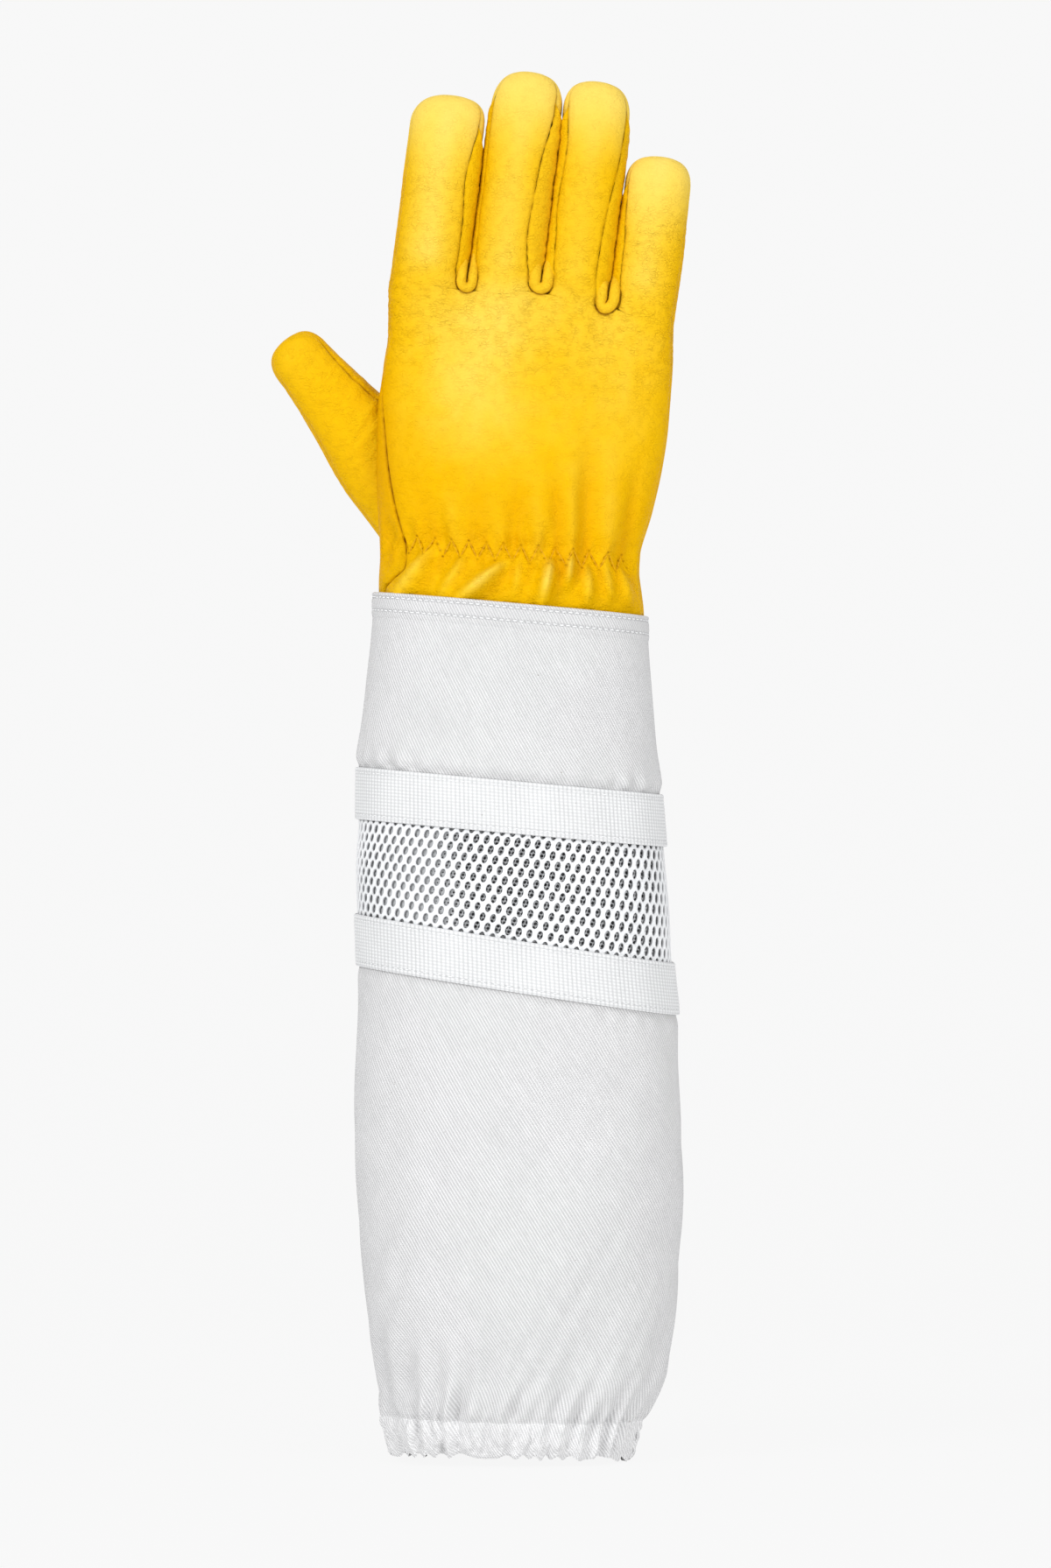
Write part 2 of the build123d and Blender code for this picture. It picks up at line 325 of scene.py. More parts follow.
def leather_creases(n, wrinkle):
    """Creases of the skin: wandering edges of stretched cells, which come and go."""
    place = n.place()
    wander = n.add("ShaderNodeTexNoise", {"Scale": 420, "Detail": 2, "Vector": place})
    shift = {0: wander.outputs["Color"], "Scale": 0.0022}
    shift = n.add("ShaderNodeVectorMath", shift, operation="SCALE").outputs[0]
    place = n.add("ShaderNodeVectorMath", {0: place, 1: shift}, operation="ADD").outputs[0]
    stretch = {"Scale": (0.52, 0.8, 1.25), "Vector": place}
    place = n.add("ShaderNodeMapping", stretch).outputs[0]
    cells = {"Scale": 860, "Vector": place}
    cells = n.add("ShaderNodeTexVoronoi", cells, feature="DISTANCE_TO_EDGE")
    line = n.minus(1.0, n.ramp(cells.outputs["Distance"], 0.0, 0.2))
    broken = n.ramp(n.noise(300, 3), 0.36, 0.6)
    amount = n.math("MULTIPLY_ADD", wrinkle, 0.75, 0.45)
    return n.times(n.times(line, broken), amount), amount


def leather_material():
    """Soft yellow goatskin: fine pebbled grain, broken creases, painted highlights and shade."""
    n = Nodes("leather_yellow", srgb(224, 174, 0), 0.5)
    n.shader.inputs["Specular IOR Level"].default_value = 0.03
    wash = n.attribute("wash")
    line, amount = leather_creases(n, n.attribute("wrinkle"))

    patches = n.ramp(n.noise(38, 3), 0.3, 0.7)
    color = n.mix(patches, srgb(218, 166, 0), srgb(222, 172, 0))
    mottle = n.ramp(n.noise(520, 2), 0.4, 0.7)
    color = n.mix(n.times(mottle, 0.25), color, srgb(226, 180, 0))
    # painted highlight: paler yellow, near white where it is strongest
    color = n.mix(n.ramp(wash, 0.0, 0.8), color, srgb(226, 188, 24))
    color = n.mix(n.math("POWER", wash, 2.0), color, srgb(232, 204, 104))
    color = n.mix(n.attribute("shade"), color, srgb(206, 144, 0))
    # painted shade in the creases: they are drawn a deeper yellow
    color = n.mix(n.times(line, 0.15), color, srgb(204, 138, 0))
    # painted shade in the seams' grooves, round the gussets and in the needle holes: drawn dark
    # brown
    color = n.mix(n.attribute("seam"), color, srgb(112, 58, 0))

    grain, strength = n.noise(1100, 2), 0.6
    normal = n.bump(grain, 0.0004, strength)
    normal = n.bump(n.minus(1.0, line), 0.0003, strength, normal)
    soft = n.times(n.noise(430, 2, (0.5, 0.8, 1.2)), amount)
    normal = n.bump(soft, 0.0012, strength, normal)
    roughness = n.plus(n.times(n.noise(260, 2), 0.14), 0.42)
    return n.finish(base_color=color, normal=normal, roughness=roughness)


def cloth_material(name, dark, light, twill, depth, contrast=0.3):
    """Cotton cloth. twill is how far apart its slanted ribs lie, in millimetres."""
    n = Nodes(name, light, 0.92)
    n.shader.inputs["Specular IOR Level"].default_value = 0.1
    n.shader.inputs["Sheen Weight"].default_value = 0.05
    along, up = n.attribute("along"), n.attribute("up")
    slant = n.minus(along, n.times(up, TWILL_SLANT))
    across = n.plus(up, n.times(along, TWILL_SLANT))
    wobble = n.times(n.noise(130, 2), 0.9)
    ribs = n.math("SINE", n.plus(n.times(slant, 2 * np.pi / twill), wobble))
    weft = n.math("SINE", n.times(up, 2 * np.pi / (twill * 0.55)))
    height = n.plus(ribs, n.times(weft, 0.35))
    height = n.plus(height, n.times(n.noise(2600, 2), 1.6))

    color = n.mix(n.ramp(n.noise(55, 4), 0.3, 0.7), dark, light)
    # painted shade in the valleys between the ribs, blotchy, as strong as contrast
    valley = n.times(n.minus(1.0, ribs), contrast / 2)
    shade_blotches = n.times(n.ramp(n.noise(300, 2), 0.2, 0.6), 0.2)
    color = n.mix(n.times(valley, n.plus(shade_blotches, 0.6)), color, darker(dark, 0.62))
    place = n.add("ShaderNodeCombineXYZ", {0: slant, 1: n.times(across, 0.11)}).outputs[0]
    yarn = n.add("ShaderNodeTexNoise", {"Scale": 0.62, "Detail": 2.0, "Vector": place})
    streaks = n.times(n.ramp(yarn.outputs["Fac"], 0.62, 0.3), contrast * 0.3)
    color = n.mix(streaks, color, darker(dark, 0.72))
    specks = n.ramp(n.noise(760, 1), 0.79, 0.82)
    color = n.mix(n.times(specks, 0.5), color, srgb(120, 110, 96))
    # painted shade at the stitch rows, in the tape's gaps and down the net's holes: drawn grey
    color = n.mix(n.attribute("seam"), color, srgb(120, 121, 124))
    return n.finish(base_color=color, normal=n.bump(height, depth, 0.6))


def thread_material(name, color):
    n = Nodes(name, color, 0.85)
    fibre = n.noise(4200, 2, (1, 1, 0.25))
    tone = n.mix(n.ramp(fibre, 0.35, 0.65), darker(color, 0.82), color)
    return n.finish(base_color=tone, normal=n.bump(fibre, 0.0001, 0.5))


leather = leather_material()
# each cloth: its darker and lighter colour, how far apart its ribs lie, how deep, how strong
canvas = cloth_material(
    "canvas_twill", srgb(221, 221, 222), srgb(227, 227, 228), 1.25, 0.00022, 0.9
)
# the hem's canvas: the same cloth drawn paler, painted light against the shade on the gathered hem
hem_canvas_brightened = cloth_material(
    "canvas_twill_brightened", srgb(229, 229, 230), srgb(235, 235, 236), 1.25, 0.00022, 0.75
)
tape = cloth_material(
    "webbing_tape", srgb(231, 232, 233), srgb(237, 238, 239), 0.5, 0.00005, 0.06
)
net = cloth_material(
    "net_outer", srgb(232, 234, 236), srgb(240, 241, 243), 0.45, 0.00005, 0.06
)
# the inner net is drawn darker than the outer one: painted shade for the inside of the gauntlet
net_fine = cloth_material(
    "net_inner", srgb(190, 192, 194), srgb(200, 202, 204), 0.4, 0.00003, 0.06
)
elastic = cloth_material(
    "elastic_band", srgb(216, 216, 214), srgb(224, 224, 222), 1.4, 0.00016
)
thread_white = thread_material("thread_white", srgb(242, 243, 244))
thread_yellow = thread_material("thread_yellow", srgb(220, 162, 2))


# ---- the gauntlet's surface ----------
LEFT_EDGE = curve(
    (0, -44.0), (7.7, -45.8), (16.4, -47.9), (27.3, -48.6), (53.3, -53.9), (91.2, -56.6),
    (129.4, -57.7), (180.5, -56.2), (198.4, -56.7), (216, -57.2), (233.8, -56.2),
    (252.7, -56.0), (285, -53.8), (300, -52.3), (315.3, -51.3), (322, -51.2),
)
RIGHT_EDGE = curve(
    (0, 42.6), (5.5, 43.9), (13.2, 46.6), (31.5, 56.2), (64.2, 60.0), (100, 62.5), (140, 60.9),
    (162.2, 60.0), (179.8, 58.3), (200, 57.4), (223.5, 55.3), (242.7, 53.8), (275, 51.8),
    (295, 50.4), (306, 49.8), (322, 49.6),
)
HALF_DEPTH = curve(
    (0, 27.5), (15, 30), (34, 33), (60, 36), (95, 38), (135, 38), (190, 36.5), (228, 34.5),
    (248, 33), (280, 30.5), (313, 28.2), (322, 28),
)
SLOPE = curve(
    (0, -0.02), (40, -0.02), (100, -0.07), (171.6, -0.157), (190.5, -0.157), (229, -0.092),
    (248, -0.092), (312.5, -0.088),
)
HEM_TOP = 15.0
LOWER_TAPE = (171.6, 190.5)
UPPER_TAPE = (228.8, 247.9)
CUFF_TOP = 312.6
CUFF_HEM = 303.4
AROUND = 298.0  # a turn round the sleeve, for the cloth's pattern
SLEEVE_ROUND = 0.9  # 1 is an oval section, less is a squarer one
HEM_GATHERS = 33
SLEEVE_COLUMNS = 760


def arc_table():
    """Shares of the way round a middle section of the gauntlet, for even steps of phi."""
    phi = np.linspace(0, 2 * np.pi, 2881)
    x = 57.0 * signed_power(np.cos(phi), SLEEVE_ROUND)
    y = 35.5 * signed_power(np.sin(phi), SLEEVE_ROUND)
    length = np.concatenate(([0], np.cumsum(np.hypot(np.diff(x), np.diff(y)))))
    return phi, length / length[-1]


ARC_PHI, ARC_SHARE = arc_table()


def sleeve_point(turn, height):
    """A point of the gauntlet. turn is 0 to 1 round it, height is where its line crosses x = 0."""
    phi = np.interp(turn % 1.0, ARC_SHARE, ARC_PHI)
    c, s = (signed_power(k, SLEEVE_ROUND) for k in (np.cos(phi), np.sin(phi)))
    # the hem's edge waves, and it hangs higher at the front
    wander = 0.8 * np.sin(2 * np.pi * 5 * turn)
    wave = 0.8 * np.sin(2 * np.pi * (HEM_GATHERS * turn + wander))
    wave = wave + 2.4 * np.clip(s, 0, 1)
    z = height + wave * smooth(9, 0, height)
    for _ in range(3):
        left, right = LEFT_EDGE(z), RIGHT_EDGE(z)
        x = (left + right) / 2 + (right - left) / 2 * c
        z = height + SLOPE(height) * x + wave * smooth(9, 0, height)
    return np.stack((x, -HALF_DEPTH(z) * s, z), -1)


def gathers(turn, count, seed, sharp):
    """Irregular folds round the sleeve, about count of them, from -1 to 1."""
    shift = 0.32 * noise(turn * count * 0.45 + 5, seed, 0.5, seed)
    phase = turn * count + shift * 2
    wave = np.cos(2 * np.pi * phase)
    size = 0.72 + 0.28 * noise(turn * count * 0.8, 3.3, seed, seed + 1)
    return np.where(wave > 0, wave, -np.abs(wave) ** sharp) * size


def hem_gathers(turn):
    return gathers(turn, HEM_GATHERS, 21, 1.3)


def periodic(turn):
    """Two coordinates that repeat after a turn, for noise that meets itself."""
    return np.cos(2 * np.pi * turn), np.sin(2 * np.pi * turn)


def gauntlet_folds(turn, height):
    """How far the gauntlet's cloth stands out from its plain surface."""
    cx, cy = periodic(turn)
    dx, dy = periodic(turn + height / 560)
    out = 0.5 * noise(3.1 * cx, 3.1 * cy, height / 60, 11)
    out = out + 1.0 * noise(5 * dx, 5 * dy, height / 150, 12) * smooth(175, 100, height)
    left = 0.45 + 0.55 * smooth(0.12, 0.42, turn) * smooth(0.95, 0.6, turn)
    broad = noise(8 * dx, 8 * dy, height / 120, 13)
    narrow = gathers(turn + 0.0004 * height, 23, 14, 1.4)
    low = smooth(110, 17, height)
    out = out + low * left * (1.5 * broad + 1.7 * narrow * smooth(66, 16, height))
    out = out + 1.5 * hem_gathers(turn) * smooth(30, 15, height)
    for line, above in ((248.6, True), (170.9, False)):
        away = (height - line) if above else (line - height)
        puff = smooth(-0.5, 3.5, away) * bell(np.maximum(away - 3.5, 0), 9)
        pucker = smooth(-0.5, 1.2, away) * bell(np.maximum(away - 1.2, 0), 4.5)
        ripple = gathers(turn, 31, 31 + int(above), 2.2)
        uneven = 0.5 + 0.5 * noise(5 * cx, 5 * cy, 0.5, 36 + int(above))
        depth = 1.1 if above else 0.45
        out = out + np.where(away > -2, depth * (puff + 1.3 * pucker * ripple * uneven), 0)
    return out


def cloth_folds(turn, height):
    """The gauntlet's folds, running on into the ruffles of the gathered hem."""
    open_cloth = smooth(11, 20, height)
    ruffle = hem_gathers(turn)
    cx, cy = periodic(turn)
    fine = noise(24 * cx, 24 * cy, height / 5, 24)
    fine = fine + 0.6 * noise(48 * cx, 48 * cy, height / 3, 25)
    swirl = noise(13 * cx, 13 * cy, height / 9, 26)
    edge = smooth(0, 4, height)
    hem = 1.3 * ruffle + 1.0 * swirl + 0.8 * fine * edge + 0.6 * bell(height - 7.0, 6.5)
    hem = hem - 0.6 * smooth(1.2, 0, height)
    line = HEM_TOP + 0.9 * noise(17 * cx, 17 * cy, 0.5, 27)
    crease = 0.55 * bell(height - line, 1.4)
    return gauntlet_folds(turn, height) * open_cloth + hem * (1 - open_cloth) - crease


def ring(name, low, high, lift, thickness, material, rows, columns, shape, edges=0.0, dark=None):
    """A band round the gauntlet between two height lines."""
    heights = np.linspace(low, high, rows)
    turn, height = np.meshgrid(np.arange(columns) / columns, heights)
    base = sleeve_point(turn, height)
    out = lift + shape(turn, height)
    if edges:
        out = out - edges * rounded_edge(np.minimum(height - low, high - height), edges)
    grid = base + normals_of(base, True) * out[..., None]
    seam = dark(turn, height) if dark else np.zeros_like(turn)
    return shell(
        name, grid, thickness, material, wrap=True,
        along=turn * AROUND, up=height, seam=seam,
    )


# ---- the hand's surface ----------
# each row: left edge (x, z), right edge (x, z), depth of back and palm, roundness
HAND_ROWS = np.array(
    (
        (-48.4, 300.0, 48.3, 291.0, 26.5, 26.5, 2.1),
        (-48.9, 318.5, 48.2, 309.0, 25.0, 25.0, 2.1),
        (-48.2, 330.4, 46.6, 324.0, 23.2, 23.2, 2.1),
        (-48.4, 337.8, 46.9, 331.0, 22.4, 22.6, 2.1),
        (-49.2, 352.0, 51.2, 346.5, 21.2, 21.4, 2.15),
        (-49.6, 368.0, 54.7, 362.0, 19.6, 20.6, 2.2),
        (-49.4, 384.0, 57.1, 378.0, 17.8, 19.4, 2.25),
        (-47.2, 399.0, 58.3, 392.5, 15.8, 17.4, 2.3),
        (-45.2, 413.0, 59.0, 405.0, 13.6, 14.8, 2.4),
        (-44.95, 430.09, 59.32, 417.28, 11.6, 11.8, 2.3),
    )
)
HAND_SHARES = np.linspace(0, 1, len(HAND_ROWS))
HAND_COLUMNS = [curve(*zip(HAND_SHARES, column)) for column in HAND_ROWS.T]
KNUCKLE_ROW = 0.66  # the share of the way up where the fingers begin to shape the hand

# for each finger, along it: its centre, half its width, its length, where its tip starts to
# round, where it bends, and half its depth
FINGERS = {
    "index": dict(
        centre=curve((0, -40.3), (60, -40.2), (72, -39.0)),
        half=curve((0, 13.75), (58, 13.7), (72, 13.7)),
        length=71.5, shoulder=58.0, bend=37.0, depth=10.5,
    ),
    "middle": dict(
        centre=curve((0, -12.3), (60, -12.3), (84, -11.9)),
        half=curve((0, 13.1), (66, 13.0), (84, 12.6)),
        length=83.5, shoulder=68.0, bend=43.0, depth=10.6,
    ),
    "ring": dict(
        centre=curve((0, 13.85), (55, 13.8), (84, 12.9)),
        half=curve((0, 12.2), (70, 12.2), (84, 12.1)),
        length=83.0, shoulder=69.5, bend=43.0, depth=10.4,
    ),
    "little": dict(
        centre=curve((0, 38.9), (59, 39.1)),
        half=curve((0, 12.1), (20, 12.5), (46, 12.0), (59, 12.0)),
        length=58.5, shoulder=46.0, bend=30.0, depth=10.0,
    ),
}
FINGER_ROUND = 2.3  # 2 is an oval, more is a squarer one: sections, and tips seen from above
THUMB_ROUND = 2.2
DOME_ROUND = 2.75
WEB_DEPTH = 8.2  # how deep the valleys between the knuckles are left
WEB_FILLET = 1.6
LAP = 0.35  # how deep a piece's first row lies under the piece before it
KNUCKLE_SPAN = (-54.05, 51.0)  # the outsides of the index and the little finger

# the small gussets between the fingers: place, height of the centre, radius of the U, how much
# longer than round its bottom is, and how far the bottom leans
CROTCHES = {
    "index_middle": (-26.1, 4.0, 2.05, 1.2, 0.2),
    "middle_ring": (0.9, 7.1, 2.4, 1.05, 0.0),
    "ring_little": (25.9, 3.8, 2.3, 1.55, -0.6),
}
GUSSET_EDGE = 0.35  # how far inside the roll of a gusset its seam lies
KNUCKLE_LINE = curve(  # how far above the knuckles' plane the fingers start
    (-56, -2.5), (-40, 0.8), (-26.1, 0.4), (-12, 2.2), (0.9, 2.9), (13, 1.4), (25.7, 0.6),
    (30, 0.1), (40, -2.4), (54, -4),
)


def on_knuckles(point):
    """Where points lie along the knuckles, and how far up the fingers."""
    local = point - KNUCKLE
    return local @ KNUCKLE_U, local @ KNUCKLE_W


def knuckle_point(u, w):
    return KNUCKLE + u[..., None] * KNUCKLE_U + w[..., None] * KNUCKLE_W


def section_of(phi, power):
    """Cosine and sine of a section whose roundness is power."""
    return signed_power(np.cos(phi), 2 / power), signed_power(np.sin(phi), 2 / power)


def finger_depth(name, w):
    return FINGERS[name]["depth"] * (1 - 0.11 * smooth(0, FINGERS[name]["length"], w))


def knuckle_height(u):
    """Height of the back over the middle plane where the fingers start."""
    lobes = 0 * u
    for name, finger in FINGERS.items():
        inside = 1 - np.abs((u - finger["centre"](0.0)) / finger["half"](0.0)) ** FINGER_ROUND
        lobe = finger_depth(name, 0.0) * np.clip(inside, 0, 1) ** (1 / FINGER_ROUND)
        lobes = np.maximum(lobes, lobe)
    # the web between the fingers, which falls away outside the index and little fingers
    reach = np.clip(np.minimum(u - KNUCKLE_SPAN[0], KNUCKLE_SPAN[1] - u) / 13.0 - 0.3, 0, 1)
    web = WEB_DEPTH * (1 - (1 - reach) ** 2) ** 0.5
    overlap = np.clip(WEB_FILLET - np.abs(lobes - web), 0, None)
    return np.maximum(lobes, web) + overlap**2 / (4 * WEB_FILLET)


def hand_point(phi, share):
    """A point of the hand, from its lower edge at share 0 to the knuckle line at 1."""
    lx, lz, rx, rz, back, palm, power = (column(share) for column in HAND_COLUMNS)
    centre = np.stack(((lx + rx) / 2, 0 * lx, (lz + rz) / 2), -1)
    across = np.stack(((rx - lx) / 2, 0 * lx, (rz - lz) / 2), -1)
    c, s = section_of(phi, power)
    depth = np.where(s > 0, back, palm)
    point = centre + across * c[..., None]
    mix = smooth(KNUCKLE_ROW, 1.0, share) ** 1.5
    low, high = KNUCKLE_SPAN
    u = low + (high - low) * (c + 1) / 2
    lobes = -np.sign(s) * knuckle_height(u)
    point[..., 1] = -depth * s * (1 - mix) + lobes * mix
    rise = KNUCKLE_LINE(u) * smooth(0.8, 1.0, share)
    return point + KNUCKLE_W * rise[..., None]


def gusset_outline(radius, stretch):
    """Half the width of a gusset's outline, and how far it reaches below its centre."""
    return 2 * radius - GUSSET_EDGE, (1 + stretch) * radius - GUSSET_EDGE


def crotch_distance(u, w):
    """How far a point near the knuckles is from the nearest gusset's outline."""
    nearest = np.full(np.broadcast(u, w).shape, 99.0)
    for place, centre, radius, stretch, lean in CROTCHES.values():
        wide, tall = gusset_outline(radius, stretch)
        drop = np.clip((centre - w) / tall, 0, 1.4)
        away = np.abs(u - place - lean * drop)
        below = np.abs(np.hypot(away / wide, drop) - 1) * wide
        nearest = np.minimum(nearest, np.where(w < centre, below, np.abs(away - wide)))
    return nearest


# folds that fan out below the elastic: top (x, drop), bottom (x, drop), width, height
WRIST_FOLDS = (
    (-28.5, 2, -40.0, 21, 4.6, 1.3),
    (-17.0, 4, -25.0, 20, 3.6, 0.7),
    (-1.5, 5, -15.5, 19, 5.2, 1.7),
    (3.5, 3, 1.0, 16, 3.0, 0.7),
    (14.2, 3, 11.2, 17, 3.6, 2.0),
    (21.6, 2, 20.0, 11, 2.9, 1.4),
    (28.0, 3, 27.0, 16, 3.4, 1.0),
    (34.5, 3, 35.0, 14, 2.8, 0.8),
    (40.5, 3, 41.5, 14, 2.8, 0.8),
)
# long soft pleats above the elastic: top (x, z), x at the elastic, width, height
PLEATS = (
    (-34, 362, -30, 5.0, -0.9), (-24, 358, -21, 3.6, 0.7), (-14, 366, -12, 5.0, -0.9),
    (-4, 360, -5, 3.6, 0.6), (3, 366, 1, 4.2, -0.8), (9, 368, 9.5, 3.8, 0.9),
    (15, 374, 17, 3.0, -1.3), (22, 378, 22, 3.2, 0.8), (28, 386, 27, 3.6, -1.3),
    (36, 380, 35, 4.0, 1.0), (47, 374, 41, 3.0, -1.1),
)
# the zigzag of the wrist's thread: how far apart its corners are, how tall it is, and how many
# needle holes each of its legs has
ZIGZAG_PITCH = 6.4
ZIGZAG_HEIGHT = 6.6
HOLES_A_LEG = 3


def zigzag_line(x):
    """Height of the upper row of needle holes at the wrist."""
    return 334.3 - 0.1 * x + 0.5 * np.sin(x / 19)


def zigzag_drop(x):
    """How far below that line the thread is at x."""
    phase = (x / ZIGZAG_PITCH) % 1.0
    return np.abs(phase - 0.5) * 2 * ZIGZAG_HEIGHT


def only_back(y):
    """1 on the back of the hand and 0 on the palm."""
    return smooth(-3, -9, y)


def fold_lines(x, drop):
    """For each fold below the elastic: how far down it, how far beside it, width, height."""
    for x0, d0, x1, d1, width, size in WRIST_FOLDS:
        t = (drop - d0) / (d1 - d0)
        yield t, x - (x0 + (x1 - x0) * np.clip(t, -0.2, 1.3)), width, size


def pleat_lines(x, z):
    """For each pleat above the elastic, the same."""
    for x_top, z_top, x_low, width, size in PLEATS:
        t = (z_top - z) / (z_top - zigzag_line(x_low))
        yield t, x - (x_top + (x_low - x_top) * np.clip(t, 0, 1)), width, size


def hole_distance(point):
    """How far a point is from the nearest of the thread's needle holes."""
    x, drop = point[..., 0], zigzag_line(point[..., 0]) - point[..., 2]
    leg = ZIGZAG_PITCH / 2
    place = x / leg * HOLES_A_LEG
    nearest = np.full(x.shape, 99.0)
    for hole in (np.floor(place), np.ceil(place)):
        at = hole * leg / HOLES_A_LEG
        nearest = np.minimum(nearest, np.hypot(x - at, drop - zigzag_drop(at)))
    return nearest


def wrist_relief(point):
    """Puckers and folds that the elastic makes in the leather, on the back only."""
    x, y, z = point[..., 0], point[..., 1], point[..., 2]
    drop = zigzag_line(x) - z
    near = np.abs(drop - zigzag_drop(x))
    inside = smooth(-1, 1, drop) * smooth(ZIGZAG_HEIGHT + 1, ZIGZAG_HEIGHT - 1, drop)
    out = -0.35 * bell(near, 0.9) * inside
    pucker = 0.6 * (1 + 0.5 * noise(x / 9, 4.5, 0.5, 43)) * np.cos(2 * np.pi * x / ZIGZAG_PITCH)
    out = out + pucker * (bell(drop - 6.6, 3.6) - bell(drop + 0.6, 4.2))
    out = out - 2.2 * bell(drop - ZIGZAG_HEIGHT / 2, 8.0)
    small = noise(x / 3.1, 0.5, z / 24, 41)
    out = out + 0.75 * small * (smooth(-17, -1, drop) * smooth(17, 3, drop))
    large = noise(x / 8.5, 7.5, z / 60, 42)
    out = out + 1.0 * large * smooth(-45, -3, drop) * smooth(30, 8, drop)
    for t, beside, width, size in fold_lines(x, drop):
        along = smooth(-0.15, 0.45, t) * smooth(1.7, 0.9, t)
        wide = width * (0.62 + 0.3 * np.clip(t, 0, 1))
        out = out + 2.8 * size * bell(beside, wide) * along
    for t, beside, width, size in pleat_lines(x, z):
        along = smooth(0, 0.7, t) * smooth(1.25, 0.95, t)
        out = out + 1.3 * size * bell(beside, width) * along
    return out * only_back(y)


def skin_relief(base):
    """Wrinkles of the skin round the knuckles, in millimetres along its normal."""
    u, w = on_knuckles(base)
    side = np.where(base[..., 1] < 0, 0.0, 9.5)
    out = 0.5 * noise(u / 15, side, w / 24, 51)
    knuckles = bell(w + 4, 22)
    wave = noise(u / 7.5 + 0.35 * noise(u / 5, side, w / 5, 52), side, w / 1.9, 53)
    out = out + 0.13 * (1 - 2 * np.abs(wave)) * knuckles
    for place, centre, radius, _, _ in CROTCHES.values():  # rays fan out below each gusset
        high = w - centre + 2 * radius
        distance = np.hypot(u - place, high)
        rays = noise(np.arctan2(u - place, -high) * 3.2 + place, side, distance / 9, 54)
        out = out + 0.34 * rays * bell(distance - 5, 7) * smooth(2, -2, high)
    return out


LEFT_SEAM = curve(  # distance of the palm's wrapped edge from the left outline, by height
    (300, 1.5), (314, 2.0), (318.5, 2.4), (322, 5.0), (326.5, 9.0), (331, 8.4), (345, 6.3),
    (358, 4.4), (375, 2.2), (389, 0.6), (394, 0.25), (440, 0.25),
)


def phi_of(offset, half, power):
    """The angle at which the outline of a section, half of it half wide, is offset inwards."""
    return np.arccos(np.clip(1 - offset / half, 0, 1) ** (power / 2))


def leather_panel(surface, relief, low, high, rows, columns, grooves, extra=None):
    """A leather piece of a tube between two angles that vary along it, its edges tucked in."""
    phi = low[:, None] + (high - low)[:, None] * crowded(columns)
    height = np.broadcast_to(rows[:, None], phi.shape)
    base = surface(phi, height)
    facing = normals_of(base, False)
    left, right = edge_distance(base)
    out = relief(phi, height, base)
    seam = np.zeros_like(phi)
    x, y, z = base[..., 0], base[..., 1], base[..., 2]
    ragged = np.clip(0.62 + 0.6 * noise(x / 2.2, y / 2.2, z / 2.0, 99), 0, 1)
    for distance, groove in ((left, grooves[0]), (right, grooves[1])):
        groove = np.reshape(groove, (-1, 1))
        out = out - groove * (0.8 * bell(distance, 0.8) + 0.3 * bell(distance, 2.4))
        # painted shade along each seam's groove: a thin dark line and a softer band beside it
        line = bell(distance, 0.38) + 0.14 * bell(distance, 1.3)
        seam = np.maximum(seam, groove * ragged * line)
    if extra:
        added, dark = extra(base)
        out = out + added
        seam = np.maximum(seam, dark)
    grid = base + facing * out[..., None]
    return grid, seam, base, facing, height


def skin(name, grid, seam, trim, wash, shade, wrinkle, lap=0.0):
    return shell(
        name, grid, LEATHER, leather, trim=trim, lap=lap,
        seam=seam, wash=wash, shade=shade, wrinkle=wrinkle,
    )


THUMB_HALF = curve((-26, 19.5), (0, 18.2), (20, 14.8), (30, 13.2), (47, 11.2), (58, 11.0))
THUMB_DEPTH = curve((-26, 12.5), (0, 12.2), (20, 11.6), (30, 11.0), (47, 10.0), (58, 10.0))
THUMB_MIDDLE = curve((-26, 8.0), (-8, 12.6), (4, 14.0), (20, 12.6), (40, 10.8), (58, 10.0))
THUMB_LENGTH, THUMB_SHOULDER, THUMB_SPLIT = 58.0, 46.0, 24.0
THUMB_START = -24.0  # how far inside the hand its panels begin
THUMB_BENDS = ((-6.0, 20.0), (THUMB_SPLIT + 0.2, THUMB_SPLIT + 15.0))  # root and middle


def thumb_distance(point):
    """Distance from the thumb's surface, roughly, below 0 inside it."""
    local = point - THUMB
    u, w, y = local @ THUMB_U, local @ THUMB_W, point[..., 1]
    half, depth = THUMB_HALF(w), THUMB_DEPTH(w)
    across, deep = np.abs(u) / half, np.abs(y - THUMB_MIDDLE(w)) / depth
    radius = (across**THUMB_ROUND + deep**THUMB_ROUND) ** (1 / THUMB_ROUND)
    return (radius - 1) * np.minimum(half, depth)


def edge_on(facing):
    """1 where the leather faces sideways or up, 0 where it faces the front or the back."""
    return smooth(0.45, 0.0, np.abs(facing[..., 1]))


def hand_extra(base):
    """The grooves round the gussets and the thumb, and the thread's holes, on the hand."""
    u, w = on_knuckles(base)
    x, y, z = base[..., 0], base[..., 1], base[..., 2]
    near = crotch_distance(u, w)
    close = smooth(-14, -6, w)
    thumb = np.abs(thumb_distance(base))
    on_palm = (y > 1.0) & (x < 0)
    added = -0.6 * bell(near, 0.8) * close - 0.5 * bell(thumb, 0.9) * on_palm
    # painted shade in the grooves round the gussets and the thumb
    dark = np.maximum(0.95 * bell(near, 0.42) * close, 0.8 * bell(thumb, 0.6) * on_palm)
    on_back = (y < 0) & (x > -40) & (x < 44)
    # painted shade in the needle holes of the wrist's thread
    holes = 0.55 + 0.4 * noise(x / 2.6, 1.5, z / 2.6, 98)
    return added, np.maximum(dark, holes * bell(hole_distance(base), 0.42) * on_back)


